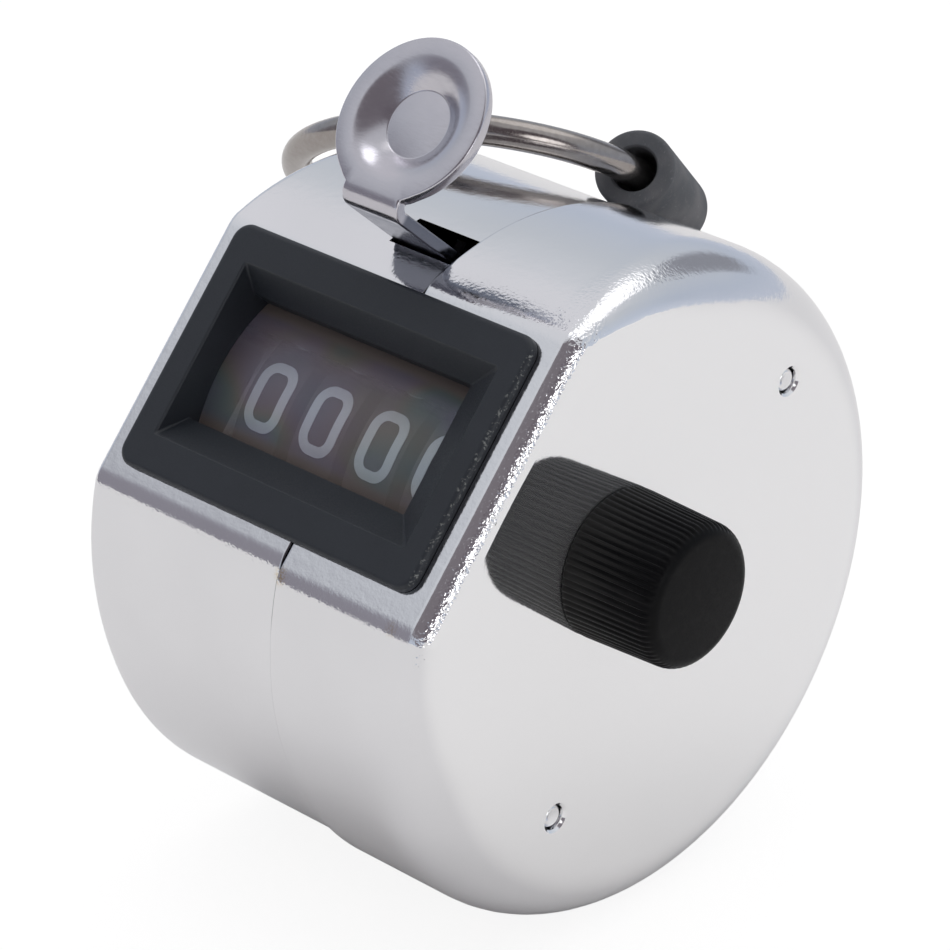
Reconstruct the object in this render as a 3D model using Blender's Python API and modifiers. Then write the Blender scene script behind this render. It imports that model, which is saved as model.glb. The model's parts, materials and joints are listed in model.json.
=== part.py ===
"""Hand tally counter: a chromed two-shell case holding four number wheels on one shaft.

Every piece is modelled in the counter's own frame and hangs on the empty window_frame:
X runs along the wheel shaft towards the reset knob, Y up along the window and Z out of it,
from a point on the round case's centre line, midway between its two flat faces.
The empty leans that frame back, so the window looks up at the person who holds the counter,
and moves it to the right, so the part's own origin is the centre of the left flat face.
Dimensions are in millimetres until to_metres.
"""

import math

import bmesh
import bpy
from mathutils import Matrix, Vector

TO_METRES = 0.001
WINDOW_LEAN = 48.0  # degrees from the vertical to the window's own plane

# Case
CASE_RADIUS = 22.0
CASE_HALF_WIDTH = 14.4
WINDOW_PLANE = 19.7  # flat that carries the bezel, measured from the case's centre line
WALL = 0.8
SEAM_X = 2.2
SEAM_GAP = 0.1
LEFT_STEP = 0.35  # the left shell is this much smaller all round
LIP_LENGTH = 2.8
LEFT_EDGE = (0.5, 1.7)  # rounding of the closed face's edge, beside the flat and round the case
RIGHT_EDGE = (1.3, 4.5)
EDGE_GROWTH = (22.0, 65.0)  # degrees from the flat's normal where that rounding starts and ends growing
FOLD_RADIUS = 2.6

# Window
BEZEL_X = (-12.9, 12.1)
BEZEL_Y = (-7.75, 8.95)
BEZEL_PROUD = 0.65
BEZEL_CORNER = 1.2
PLUG_INSET = 1.1  # the bezel's plug is this much smaller than its rim
PLUG_CLEARANCE = 0.1
RECESS_X = (-10.9, 10.35)
RECESS_Y = (-5.3, 6.55)
OPENING_X = (-9.5, 8.3)
OPENING_Y = (-3.6, 5.0)
OPENING_Z = 18.3

# Number wheels
SHAFT_Y = 0.3
SHAFT_Z = 6.8
SHAFT_RADIUS = 1.5
BORE_RADIUS = 1.65
WHEEL_NAMES = ("thousands", "hundreds", "tens", "units")
WHEEL_PITCH = 4.77
STACK_X = -0.45
WHEEL_RADIUS = 9.4
WHEEL_WIDTH = 3.75
POCKET_RADIUS = 7.8
POCKET_DEPTH = 1.3
RATCHET_TEETH = 10
RATCHET_RADIUS = 3.3
RATCHET_ROOT = 2.6
RATCHET_WIDTH = 0.75
LENS_INNER = 10.1
LENS_THICKNESS = 0.5

# Frame inside the case
PLATE_THICKNESS = 0.8
PLATE_RADIUS = 19.8
LEFT_PLATE_X = -11.4
RIGHT_PLATE_X = 9.8
POST_RADIUS = 1.3
POST_END_RADIUS = 0.8
UPPER_POST = (15.7, -0.9)
LOWER_POST = (-14.8, -0.06)
BUSH_RADIUS = 2.45
DETENT_BAR_CENTRE = (-3.5, -8.5)
BAR_HALF = (1.9, 0.85)
BAR_END_RADIUS = 0.9
COMB_Z = -7.5
SCREW_X = (-8.0, 7.0)

# Thumb lever
SHEET = 0.8
LEVER_X = -0.6
LEVER_WIDTH = 4.5
LEVER_PIVOT = (-16.2, 8.5)
PIVOT_RADIUS = 1.0
STEM_Y = 11.6
PAD_FACE_Z = 24.9
PAD_Y = 17.6
PAD_RADIUS = 5.25
ARM_X = (-12.6, 11.0)
PAWL_PIN = (12.6, 7.9)
PAWL_PIN_RADIUS = 0.6
FINGER = 0.5
FINGER_TIP_GAP = 0.35

# Finger ring
SLEEVE_RADIUS = 2.65
SLEEVE_LENGTH = 9.0
SLEEVE_BORE = 1.55
SLEEVE_X = -3.2
SLEEVE_ANGLE = 96.1  # degrees round the case from the window's normal
SLEEVE_SKEW = 16.0  # degrees between its axis and the case's own curve, seen from above
SLEEVE_TILT = 5.8  # degrees that its back end stands off the case
SLEEVE_GAP = 0.2
RING_RADIUS = 12.2
RING_WIRE = 1.0
RING_CHORD = 3.4  # half the straight length of wire inside the sleeve
RING_LEAN = 23.0  # degrees from level to the ring's own plane

# Knob
KNOB_X = 14.75
KNOB_LENGTH = 6.65
KNOB_BASE = 4.84
KNOB_TIP = 4.59
KNOB_EDGE = 0.9

PARTS = "hand_tally_counter"
CUTTERS = "cutters"


def clear_scene():
    for obj in list(bpy.data.objects):
        bpy.data.objects.remove(obj, do_unlink=True)


def new_collection(name):
    made = bpy.data.collections.new(name)
    bpy.context.scene.collection.children.link(made)
    return made


def window_frame():
    """The empty that every piece hangs on."""
    empty = bpy.data.objects.new("window_frame", None)
    bpy.data.collections[PARTS].objects.link(empty)
    empty.location = (CASE_HALF_WIDTH * TO_METRES, 0, 0)
    empty.rotation_euler = (math.radians(WINDOW_LEAN), 0, 0)
    return empty


def new_material(name, colour, roughness, metallic=0.0, alpha=1.0):
    made = bpy.data.materials.new(name)
    made.use_nodes = True
    shader = made.node_tree.nodes["Principled BSDF"]
    shader.inputs["Base Color"].default_value = (*colour, 1.0)
    shader.inputs["Roughness"].default_value = roughness
    shader.inputs["Metallic"].default_value = metallic
    shader.inputs["Alpha"].default_value = alpha
    return made


# Meshes, in millimetres


def mesh_from(bm, name):
    """The finished mesh, with its faces pointing out."""
    bmesh.ops.recalc_face_normals(bm, faces=bm.faces)
    if bm.calc_volume(signed=True) < 0:
        bmesh.ops.reverse_faces(bm, faces=bm.faces)
    mesh = bpy.data.meshes.new(name)
    bm.to_mesh(mesh)
    bm.free()
    return mesh


def box(x, y, z):
    """A box between the two values of each range."""
    bm = bmesh.new()
    bmesh.ops.create_cube(bm, size=1.0)
    size = Matrix.Diagonal((x[1] - x[0], y[1] - y[0], z[1] - z[0], 1.0))
    centre = Matrix.Translation((sum(x) / 2, sum(y) / 2, sum(z) / 2))
    bm.transform(centre @ size)
    return mesh_from(bm, "box")


def rod(x, centre, radius, segments=20):
    """A cylinder along X, about the (y, z) centre."""
    bm = bmesh.new()
    bmesh.ops.create_cone(
        bm, cap_ends=True, segments=segments, radius1=radius, radius2=radius, depth=x[1] - x[0]
    )
    turn = Matrix.Rotation(math.pi / 2, 4, "Y")
    bm.transform(Matrix.Translation((sum(x) / 2, *centre)) @ turn)
    return mesh_from(bm, "rod")


def evaluated_mesh(obj):
    """The object's mesh with its curve or modifiers applied; the object is then removed."""
    bpy.context.scene.collection.objects.link(obj)
    graph = bpy.context.evaluated_depsgraph_get()
    mesh = bpy.data.meshes.new_from_object(obj.evaluated_get(graph))
    bpy.data.objects.remove(obj, do_unlink=True)
    return mesh


def welded(mesh, within=1e-4):
    bm = bmesh.new()
    bm.from_mesh(mesh)
    bmesh.ops.remove_doubles(bm, verts=bm.verts, dist=within)
    return mesh_from(bm, mesh.name)


def sheet(outline, x):
    """A flat piece across X, cut to a (y, z) outline."""
    curve = bpy.data.curves.new("outline", "CURVE")
    curve.dimensions = "2D"
    curve.fill_mode = "BOTH"
    curve.extrude = (x[1] - x[0]) / 2
    spline = curve.splines.new("POLY")
    spline.points.add(len(outline) - 1)
    for point, (y, z) in zip(spline.points, outline):
        point.co = (y, z, 0.0, 1.0)
    spline.use_cyclic_u = True
    mesh = welded(evaluated_mesh(bpy.data.objects.new("outline", curve)))
    across = Matrix(((0, 0, 1, sum(x) / 2), (1, 0, 0, 0), (0, 1, 0, 0), (0, 0, 0, 1)))
    mesh.transform(across)
    return mesh


def wire(points, radius, closed=False, resolution=1):
    """Round wire along a line of points."""
    curve = bpy.data.curves.new("wire", "CURVE")
    curve.dimensions = "3D"
    curve.bevel_depth = radius
    curve.bevel_resolution = resolution
    curve.use_fill_caps = not closed
    spline = curve.splines.new("POLY")
    spline.points.add(len(points) - 1)
    for point, place in zip(spline.points, points):
        point.co = (*place, 1.0)
    spline.use_cyclic_u = closed
    return welded(evaluated_mesh(bpy.data.objects.new("wire", curve)))


def turned(profile, steps=28):
    """A turned shape about Z. The profile of (radius, z) runs down the outer side."""
    mesh = bpy.data.meshes.new("turned")
    points = [(radius, 0.0, z) for radius, z in profile]
    edges = [(i, i + 1) for i in range(len(points) - 1)]
    mesh.from_pydata(points, edges, [])
    obj = bpy.data.objects.new("turned", mesh)
    screw = obj.modifiers.new("turn", "SCREW")
    screw.steps = steps
    screw.render_steps = steps
    screw.use_merge_vertices = True
    screw.merge_threshold = 1e-4
    return welded(evaluated_mesh(obj))


def along_x(mesh, centre):
    """Turns a Z-axis shape so that its Z runs along X, about the (y, z) centre."""
    mesh.transform(Matrix.Translation((0, *centre)) @ Matrix.Rotation(math.pi / 2, 4, "Y"))
    return mesh


def arc(centre, radius, start, end, count):
    """Points of an arc in degrees, both ends included."""
    made = []
    for i in range(count):
        angle = math.radians(start + (end - start) * i / (count - 1))
        made.append((centre[0] + radius * math.cos(angle), centre[1] + radius * math.sin(angle)))
    return made


def ring_profile(inner, outer, low, high):
    """A closed washer section for turned()."""
    return [(inner, high), (outer, high), (outer, low), (inner, low), (inner, high)]


# Objects


def to_metres(mesh, origin):
    mesh.transform(Matrix.Scale(TO_METRES, 4) @ Matrix.Translation(-Vector(origin)))


def part(name, mesh, material, origin=(0.0, 0.0, 0.0)):
    """A named piece, its origin on its joint's axis where it moves."""
    to_metres(mesh, origin)
    mesh.name = name
    obj = bpy.data.objects.new(name, mesh)
    obj.data.materials.clear()
    obj.data.materials.append(bpy.data.materials[material])
    mesh.shade_smooth()
    mesh.set_sharp_from_angle(angle=math.radians(35))
    bpy.data.collections[PARTS].objects.link(obj)
    obj.parent = bpy.data.objects["window_frame"]
    obj.location = Vector(origin) * TO_METRES
    return obj


def boolean(obj, mesh, operation, solver):
    """Joins or cuts a piece with another shape, which stays as a hidden helper."""
    to_metres(mesh, (0.0, 0.0, 0.0))
    helper = bpy.data.objects.new(f"{obj.name}_{operation.lower()}", mesh)
    bpy.data.collections[CUTTERS].objects.link(helper)
    helper.parent = bpy.data.objects["window_frame"]
    helper.hide_render = True
    helper.display_type = "WIRE"
    modifier = obj.modifiers.new(operation.lower(), "BOOLEAN")
    modifier.operation = operation
    modifier.object = helper
    modifier.solver = solver


def cut(obj, *meshes, solver="EXACT"):
    for mesh in meshes:
        boolean(obj, mesh, "DIFFERENCE", solver)


def fuse(obj, *meshes, solver="EXACT"):
    for mesh in meshes:
        boolean(obj, mesh, "UNION", solver)


# Case


def spread(first, last, count):
    return [first + (last - first) * i / (count - 1) for i in range(count)]


def case_outline(radius, window_plane):
    """The round case cut by the window's flat, with a rounded fold at each end of the flat.

    Each point is an arc's centre, its radius and the angle in degrees.
    """
    fold_z = window_plane - FOLD_RADIUS
    fold_y = math.sqrt((radius - FOLD_RADIUS) ** 2 - fold_z**2)
    turn = math.degrees(math.atan2(fold_z, fold_y))
    points = [((0.0, 0.0), radius, angle) for angle in spread(turn, -180 - turn, 50)]
    points += [((-fold_y, fold_z), FOLD_RADIUS, a) for a in spread(180 - turn, 90, 4)[1:]]
    points += [((fold_y, fold_z), FOLD_RADIUS, a) for a in spread(90, turn, 4)[:-1]]
    return points


def edge_size(angle, edge):
    """Rounding of the closed face's edge where the outline faces this angle."""
    away = abs((angle + 90) % 360 - 180)
    share = (away - EDGE_GROWTH[0]) / (EDGE_GROWTH[1] - EDGE_GROWTH[0])
    share = min(1.0, max(0.0, share))
    return edge[0] + (edge[1] - edge[0]) * share**2 * (3 - 2 * share)


def drawn_in(point, depth, edge):
    """A point of the outline at a depth below the closed face, as (y, z)."""
    centre, radius, angle = point
    size = edge_size(angle, edge)
    short = max(0.0, size - depth)
    radius -= size - math.sqrt(size**2 - short**2)
    turn = math.radians(angle)
    return centre[0] + radius * math.cos(turn), centre[1] + radius * math.sin(turn)


def drum(radius, window_plane, closed_x, open_x, edge):
    """A round block with a flat for the window and a rounded closed face."""
    outline = case_outline(radius, window_plane)
    inward = math.copysign(1.0, open_x - closed_x)
    depths = {round(size * (1 - math.cos(math.radians(a))), 4) for size in edge for a in (0, 30, 60, 90)}
    levels = [(closed_x + inward * depth, depth) for depth in sorted(depths)]
    levels.append((open_x, abs(open_x - closed_x)))
    bm = bmesh.new()
    rows = [[bm.verts.new((x, *drawn_in(p, depth, edge))) for p in outline] for x, depth in levels]
    for one, other in zip(rows, rows[1:]):
        for i in range(len(outline)):
            j = (i + 1) % len(outline)
            bm.faces.new((one[i], one[j], other[j], other[i]))
    bm.faces.new(rows[0])
    bm.faces.new(rows[-1])
    return mesh_from(bm, "drum")


def inner_edge(edge):
    """The same rounding on the inside of the wall."""
    return tuple(max(0.1, size - WALL) for size in edge)


def bezel_opening():
    """The hole in both shells that the bezel's plug goes through."""
    grow = PLUG_INSET - PLUG_CLEARANCE
    return box(
        (BEZEL_X[0] + grow, BEZEL_X[1] - grow),
        (BEZEL_Y[0] + grow, BEZEL_Y[1] - grow),
        (WINDOW_PLANE - 3 * WALL, WINDOW_PLANE + 2.0),
    )


def lever_slot():
    """The notch in the left shell's rim, closed by the right shell."""
    reach = SEAM_X + LIP_LENGTH + 1.0
    return box(
        (LEVER_X - LEVER_WIDTH / 2 - 0.25, reach),
        (STEM_Y - 0.2, STEM_Y + SHEET + 1.25),
        (12.0, CASE_RADIUS),
    )


def left_shell():
    """The smaller shell, with a thin lip that slides inside the right shell."""
    radius = CASE_RADIUS - LEFT_STEP
    lip_radius = CASE_RADIUS - WALL - 0.3
    lip_plane = WINDOW_PLANE - WALL - 0.3
    face = WALL - CASE_HALF_WIDTH
    shell = part(
        "left_shell", drum(radius, WINDOW_PLANE, -CASE_HALF_WIDTH, SEAM_X, LEFT_EDGE), "chrome"
    )
    fuse(shell, drum(lip_radius, lip_plane, -WALL, SEAM_X + LIP_LENGTH, (0.1, 0.1)))
    cut(
        shell,
        drum(radius - WALL, WINDOW_PLANE - WALL, face, -WALL, inner_edge(LEFT_EDGE)),
        drum(lip_radius - WALL, lip_plane - WALL, face + 1.0, SEAM_X + 2 * LIP_LENGTH, (0.5, 0.5)),
        bezel_opening(),
        lever_slot(),
        ring_stud_hole(),
    )


def right_shell():
    start = SEAM_X + SEAM_GAP
    shell = part(
        "right_shell", drum(CASE_RADIUS, WINDOW_PLANE, CASE_HALF_WIDTH, start, RIGHT_EDGE), "chrome"
    )
    inside = drum(
        CASE_RADIUS - WALL,
        WINDOW_PLANE - WALL,
        CASE_HALF_WIDTH - WALL,
        start - 5.0,
        inner_edge(RIGHT_EDGE),
    )
    through = (CASE_HALF_WIDTH - 3.0, CASE_HALF_WIDTH + 1.0)
    cut(
        shell,
        inside,
        bezel_opening(),
        rod(through, (SHAFT_Y, SHAFT_Z), SHAFT_RADIUS + 0.6),
        rod(through, UPPER_POST, POST_END_RADIUS + 0.2, 16),
        rod(through, LOWER_POST, POST_END_RADIUS + 0.2, 16),
    )


# Window


def rounded_rectangle(x, y, radius):
    corners = (
        (x[1] - radius, y[1] - radius, 0),
        (x[0] + radius, y[1] - radius, 90),
        (x[0] + radius, y[0] + radius, 180),
        (x[1] - radius, y[0] + radius, 270),
    )
    points = []
    for cx, cy, start in corners:
        points += arc((cx, cy), radius, start, start + 90, 5)
    return points


def bezel():
    top = WINDOW_PLANE + BEZEL_PROUD
    rim = sheet(rounded_rectangle(BEZEL_X, BEZEL_Y, BEZEL_CORNER), (WINDOW_PLANE + 0.05, top))
    upright = Matrix(((0, 1, 0, 0), (0, 0, 1, 0), (1, 0, 0, 0), (0, 0, 0, 1)))
    rim.transform(upright)
    frame = part("bezel", rim, "bezel_plastic")
    plug = box(
        (BEZEL_X[0] + PLUG_INSET, BEZEL_X[1] - PLUG_INSET),
        (BEZEL_Y[0] + PLUG_INSET, BEZEL_Y[1] - PLUG_INSET),
        (SHAFT_Z + LENS_INNER - 0.9, WINDOW_PLANE + 0.3),
    )
    fuse(frame, plug)
    around_lens = LENS_INNER + LENS_THICKNESS + 0.15
    cut(
        frame,
        rod((-20.0, 20.0), (SHAFT_Y, SHAFT_Z), around_lens, 96),
        box(OPENING_X, OPENING_Y, (10.0, OPENING_Z + 0.01)),
        sloped_recess(top),
    )
    return frame


def sloped_recess(top):
    """The four sloping cheeks that lead from the bezel's face down to the opening."""
    bm = bmesh.new()
    bmesh.ops.create_cube(bm, size=2.0)
    rise = top - OPENING_Z
    for vertex in bm.verts:
        upper = vertex.co.z > 0
        x_range = RECESS_X if upper else OPENING_X
        y_range = RECESS_Y if upper else OPENING_Y
        x = x_range[1] if vertex.co.x > 0 else x_range[0]
        y = y_range[1] if vertex.co.y > 0 else y_range[0]
        overshoot = 0.2 / rise if upper else 0.0
        x += overshoot * (x - (OPENING_X[1] if vertex.co.x > 0 else OPENING_X[0]))
        y += overshoot * (y - (OPENING_Y[1] if vertex.co.y > 0 else OPENING_Y[0]))
        vertex.co = (x, y, top + 0.2 if upper else OPENING_Z)
    return mesh_from(bm, "recess")


def window_lens():
    """A clear sheet bent round the number wheels."""
    centre = (SHAFT_Y, SHAFT_Z)
    outer = LENS_INNER + LENS_THICKNESS
    outline = arc(centre, outer, 52, 124, 19) + arc(centre, LENS_INNER, 124, 52, 19)
    return part("window_lens", sheet(outline, (OPENING_X[0] - 0.8, OPENING_X[1] + 1.0)), "lens")


# Frame


def frame_plate(name, x):
    plate = part(name, rod((x, x + PLATE_THICKNESS), (0.0, 0.0), PLATE_RADIUS, 48), "steel")
    across = (x - 1.0, x + PLATE_THICKNESS + 1.0)
    cut(
        plate,
        box(across, (-25.0, 25.0), (14.2, 25.0)),
        box(across, (11.0, 25.0), (2.6, 25.0)),
        rod(across, UPPER_POST, POST_END_RADIUS + 0.15, 16),
        rod(across, LOWER_POST, POST_END_RADIUS + 0.15, 16),
        rod(across, LEVER_PIVOT, PIVOT_RADIUS + 0.12),
        rod(across, DETENT_BAR_CENTRE, BAR_END_RADIUS + 0.15, 16),
    )
    return plate


def frame_plates():
    left = frame_plate("frame_plate_left", LEFT_PLATE_X)
    right = frame_plate("frame_plate_right", RIGHT_PLATE_X)
    for plate, radius in ((left, BORE_RADIUS), (right, BUSH_RADIUS + 0.12)):
        cut(plate, rod((-20.0, 20.0), (SHAFT_Y, SHAFT_Z), radius))


def frame_post(name, centre):
    """A spacer between the plates, its shouldered right end seen through the right shell."""
    inner = (LEFT_PLATE_X + PLATE_THICKNESS + 0.1, RIGHT_PLATE_X - 0.1)
    post = part(name, rod(inner, centre, POST_RADIUS, 20), "steel")
    ends = (LEFT_PLATE_X - 0.3, CASE_HALF_WIDTH - 0.25)
    fuse(post, rod(ends, centre, POST_END_RADIUS, 20))


def shaft_bush():
    section = [
        (BORE_RADIUS, 11.3),
        (BUSH_RADIUS + 0.7, 11.3),
        (BUSH_RADIUS + 0.7, 10.75),
        (BUSH_RADIUS, 10.75),
        (BUSH_RADIUS, 9.6),
        (BORE_RADIUS, 9.6),
        (BORE_RADIUS, 11.3),
    ]
    part("shaft_bush", along_x(turned(section, 20), (SHAFT_Y, SHAFT_Z)), "brass")


def shaft_washer():
    section = ring_profile(BORE_RADIUS, 3.6, -10.35, -9.8)
    part("shaft_washer", along_x(turned(section, 20), (SHAFT_Y, SHAFT_Z)), "steel")


def wheel_x(index):
    return STACK_X + (index - 1.5) * WHEEL_PITCH


def finger_x(index):
    """The middle of the gap between this wheel and the next, where the fingers reach in."""
    return wheel_x(index) + WHEEL_PITCH / 2


def comb_fingers(outline):
    made = []
    for index in range(len(WHEEL_NAMES)):
        middle = finger_x(index)
        made.append(sheet(outline, (middle - FINGER / 2, middle + FINGER / 2)))
    return made


def detent():
    """The fixed bar and the four-fingered spring that stops the wheels from running back."""
    y, z = DETENT_BAR_CENTRE
    inner = (LEFT_PLATE_X + PLATE_THICKNESS + 0.1, RIGHT_PLATE_X - 0.1)
    bar = part(
        "detent_bar",
        box(inner, (y - BAR_HALF[0], y + BAR_HALF[0]), (z - BAR_HALF[1], z + BAR_HALF[1])),
        "steel",
    )
    ends = (LEFT_PLATE_X - 0.3, RIGHT_PLATE_X + PLATE_THICKNESS + 0.3)
    fuse(bar, rod(ends, DETENT_BAR_CENTRE, BAR_END_RADIUS, 16))
    strip = box((-10.2, 9.4), (y - BAR_HALF[0], y + BAR_HALF[0]), (COMB_Z, COMB_Z + 0.4))
    comb = part("detent_spring", strip, "spring_steel")
    tip_z = SHAFT_Z - RATCHET_RADIUS - FINGER_TIP_GAP
    finger = [(-4.9, COMB_Z + 0.2), (-2.6, COMB_Z + 0.2), (1.3, tip_z - 0.7)]
    finger += [(0.9, tip_z), (0.2, tip_z)]
    fuse(comb, *comb_fingers(finger))
    for side, x in zip(("left", "right"), SCREW_X):
        detent_screw(side, x, bar, comb)


def detent_screw(side, x, bar, comb):
    y, z = DETENT_BAR_CENTRE
    head = [(0.0, COMB_Z + 1.3), (1.3, COMB_Z + 1.3), (1.3, COMB_Z + 0.5)]
    shank = [(0.6, COMB_Z + 0.5), (0.6, z - 0.7), (0.0, z - 0.7)]
    screw = turned(head + shank, 16)
    screw.transform(Matrix.Translation((x, y, 0)))
    part(f"detent_screw_{side}", screw, "brass")
    for piece in (bar, comb):
        hole = turned([(0.0, 0.0), (0.75, 0.0), (0.75, -20.0), (0.0, -20.0)], 16)
        hole.transform(Matrix.Translation((x, y, 0)))
        cut(piece, hole)


# Number wheels


def ratchet_outline():
    """Ten sawteeth, each rising slowly and dropping at once."""
    points = []
    for tooth in range(RATCHET_TEETH):
        start = tooth * 360 / RATCHET_TEETH
        for part_way, radius in ((0.0, RATCHET_ROOT), (0.5, 2.98), (1.0, RATCHET_RADIUS)):
            angle = math.radians(start + part_way * 33.0)
            y = SHAFT_Y + radius * math.cos(angle)
            points.append((y, SHAFT_Z + radius * math.sin(angle)))
    return points


def number_wheel(index):
    """A number drum with its reset pocket on the left and its ratchet on the right."""
    middle = wheel_x(index)
    left = middle - WHEEL_WIDTH / 2
    right = middle + WHEEL_WIDTH / 2
    section = [
        (0.0, right),
        (WHEEL_RADIUS - 0.2, right),
        (WHEEL_RADIUS, right - 0.2),
        (WHEEL_RADIUS, left + 0.2),
        (WHEEL_RADIUS - 0.2, left),
        (POCKET_RADIUS, left),
        (POCKET_RADIUS, left + POCKET_DEPTH),
        (0.0, left + POCKET_DEPTH),
    ]
    name = WHEEL_NAMES[index]
    axle = (middle, SHAFT_Y, SHAFT_Z)
    wheel = part(
        f"{name}_wheel", along_x(turned(section, 32), (SHAFT_Y, SHAFT_Z)), "wheel_plastic", axle
    )
    fuse(wheel, sheet(ratchet_outline(), (right - 0.3, right + RATCHET_WIDTH)), solver="MANIFOLD")
    cut(
        wheel,
        rod((left - 1.0, right + 2.0), (SHAFT_Y, SHAFT_Z), BORE_RADIUS),
        rod((left - 1.0, left + 2.4), pawl_post(), 0.55, 12),
        solver="MANIFOLD",
    )
    reset_pawl(name, left, axle)


def pawl_post():
    """The (y, z) centre of the pin that a wheel's reset pawl turns on."""
    return (SHAFT_Y + 5.6 * math.cos(math.radians(150)), SHAFT_Z + 5.6 * math.sin(math.radians(150)))


def reset_pawl(name, left, axle):
    """A curved spring pawl whose nose drops into the shaft's groove, and its pin."""
    centre = (SHAFT_Y, SHAFT_Z)
    outline = arc(centre, 6.6, 20, 165, 16) + arc(centre, 4.6, 165, 50, 12)
    outline += arc(centre, 1.85, 35, 20, 3)
    pawl = part(
        f"{name}_reset_pawl", sheet(outline, (left + 0.25, left + 0.95)), "spring_steel", axle
    )
    cut(pawl, rod((left - 1.0, left + 2.0), pawl_post(), 0.55, 12))
    pin = rod((left + 0.1, left + 2.2), pawl_post(), 0.42, 12)
    part(f"{name}_pawl_pin", pin, "brass", axle)


def reset_shaft():
    x = (-13.0, KNOB_X + 4.6)
    axle = (0.0, SHAFT_Y, SHAFT_Z)
    shaft = part("reset_shaft", rod(x, (SHAFT_Y, SHAFT_Z), SHAFT_RADIUS), "steel", axle)
    groove_y = (SHAFT_Y - 0.35, SHAFT_Y + 0.35)
    groove_z = (SHAFT_Z + SHAFT_RADIUS - 0.6, SHAFT_Z + SHAFT_RADIUS + 1.0)
    cut(shaft, box((wheel_x(0) - 2.5, wheel_x(3) + 2.5), groove_y, groove_z))


def shaft_clip():
    centre = (SHAFT_Y, SHAFT_Z)
    outline = arc(centre, 2.9, -60, 240, 25) + arc(centre, BORE_RADIUS, 240, -60, 25)
    axle = (0.0, SHAFT_Y, SHAFT_Z)
    part("shaft_clip", sheet(outline, (-12.7, -12.1)), "spring_steel", axle)


def reset_knob():
    tip = KNOB_X + KNOB_LENGTH
    profile = [(0.0, tip), (KNOB_TIP - KNOB_EDGE, tip - 0.1)]
    for i in range(1, 4):
        angle = math.radians(90 - 30 * i)
        radius = KNOB_TIP - KNOB_EDGE * (1 - math.cos(angle))
        profile.append((radius, tip - 0.1 - KNOB_EDGE * (1 - math.sin(angle))))
    profile += [(KNOB_BASE, KNOB_X + 0.3), (KNOB_BASE - 0.3, KNOB_X), (BORE_RADIUS, KNOB_X)]
    profile += [(BORE_RADIUS, KNOB_X + 4.9), (0.0, KNOB_X + 4.9)]
    axle = (0.0, SHAFT_Y, SHAFT_Z)
    knob = along_x(turned(profile, 32), (SHAFT_Y, SHAFT_Z))
    part("reset_knob", knob, "knob_plastic", axle)


# Thumb lever


def lever_arm_outline():
    """One side arm, from the crossbar down past the shaft to the pivot."""
    points = [(STEM_Y + SHEET, 12.0), (10.8, 12.0), (10.8, 8.6), (6.4, 3.2), (-7.4, 3.2)]
    points += arc(LEVER_PIVOT, 1.9, 50, 230, 9)
    points += [(-8.6, 0.0), (7.6, 0.0), (13.9, 6.6), (13.9, 9.3), (STEM_Y + SHEET, 9.7)]
    return points


def dished_pad():
    """The round thumb pad: a flat rim round a shallow dish with a flat bottom."""
    profile = [(0.0, -0.95), (2.3, -0.95), (3.4, -0.1), (3.7, 0.0), (PAD_RADIUS - 0.2, 0.0)]
    profile += [(PAD_RADIUS, -0.2), (PAD_RADIUS, -SHEET + 0.2), (PAD_RADIUS - 0.2, -SHEET)]
    profile += [(3.4, -SHEET), (2.1, -0.95 - SHEET), (0.0, -0.95 - SHEET)]
    pad = turned(profile, 32)
    pad.transform(Matrix.Translation((LEVER_X, PAD_Y, PAD_FACE_Z)))
    return pad


def thumb_lever():
    """One bent sheet: pad, neck, stem, crossbar and the two arms that swing on the pivot pin."""
    x = (LEVER_X - LEVER_WIDTH / 2, LEVER_X + LEVER_WIDTH / 2)
    y = (STEM_Y, STEM_Y + SHEET)
    pivot = (0.0, *LEVER_PIVOT)
    lever = part("thumb_lever", box(x, y, (11.0, PAD_FACE_Z)), "nickel", pivot)
    neck_y = (STEM_Y, PAD_Y - 3.9)
    fuse(
        lever,
        box(x, neck_y, (PAD_FACE_Z - SHEET, PAD_FACE_Z)),
        dished_pad(),
        box((ARM_X[0], ARM_X[1] + SHEET), y, (9.7, 12.0)),
        *[sheet(lever_arm_outline(), (start, start + SHEET)) for start in ARM_X],
        solver="MANIFOLD",
    )
    cut(
        lever,
        rod((-20.0, 20.0), LEVER_PIVOT, PIVOT_RADIUS + 0.12),
        rod((-20.0, 20.0), PAWL_PIN, PAWL_PIN_RADIUS + 0.12, 16),
        solver="MANIFOLD",
    )


def lever_pivot_pin():
    part("lever_pivot_pin", rod((-13.2, 12.4), LEVER_PIVOT, PIVOT_RADIUS), "steel")


def coil(centre, radius, x, turns, per_turn=12):
    """Points of a coil along X, from the first x to the second."""
    count = int(turns * per_turn)
    made = []
    for i in range(count + 1):
        angle = 2 * math.pi * i / per_turn
        along = x[0] + (x[1] - x[0]) * i / count
        y = centre[0] + radius * math.cos(angle)
        made.append((along, y, centre[1] + radius * math.sin(angle)))
    return made


def lever_return_spring():
    """Torsion spring round the pivot pin, one leg on the frame and one towards the lever."""
    points = coil(LEVER_PIVOT, 1.6, (-9.4, -6.4), 4)
    first = points[0]
    last = points[-1]
    points = [(first[0], first[1], first[2] - 5.0), *points, (last[0], last[1], last[2] + 4.0)]
    part("lever_return_spring", wire(points, 0.25), "spring_steel")


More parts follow.
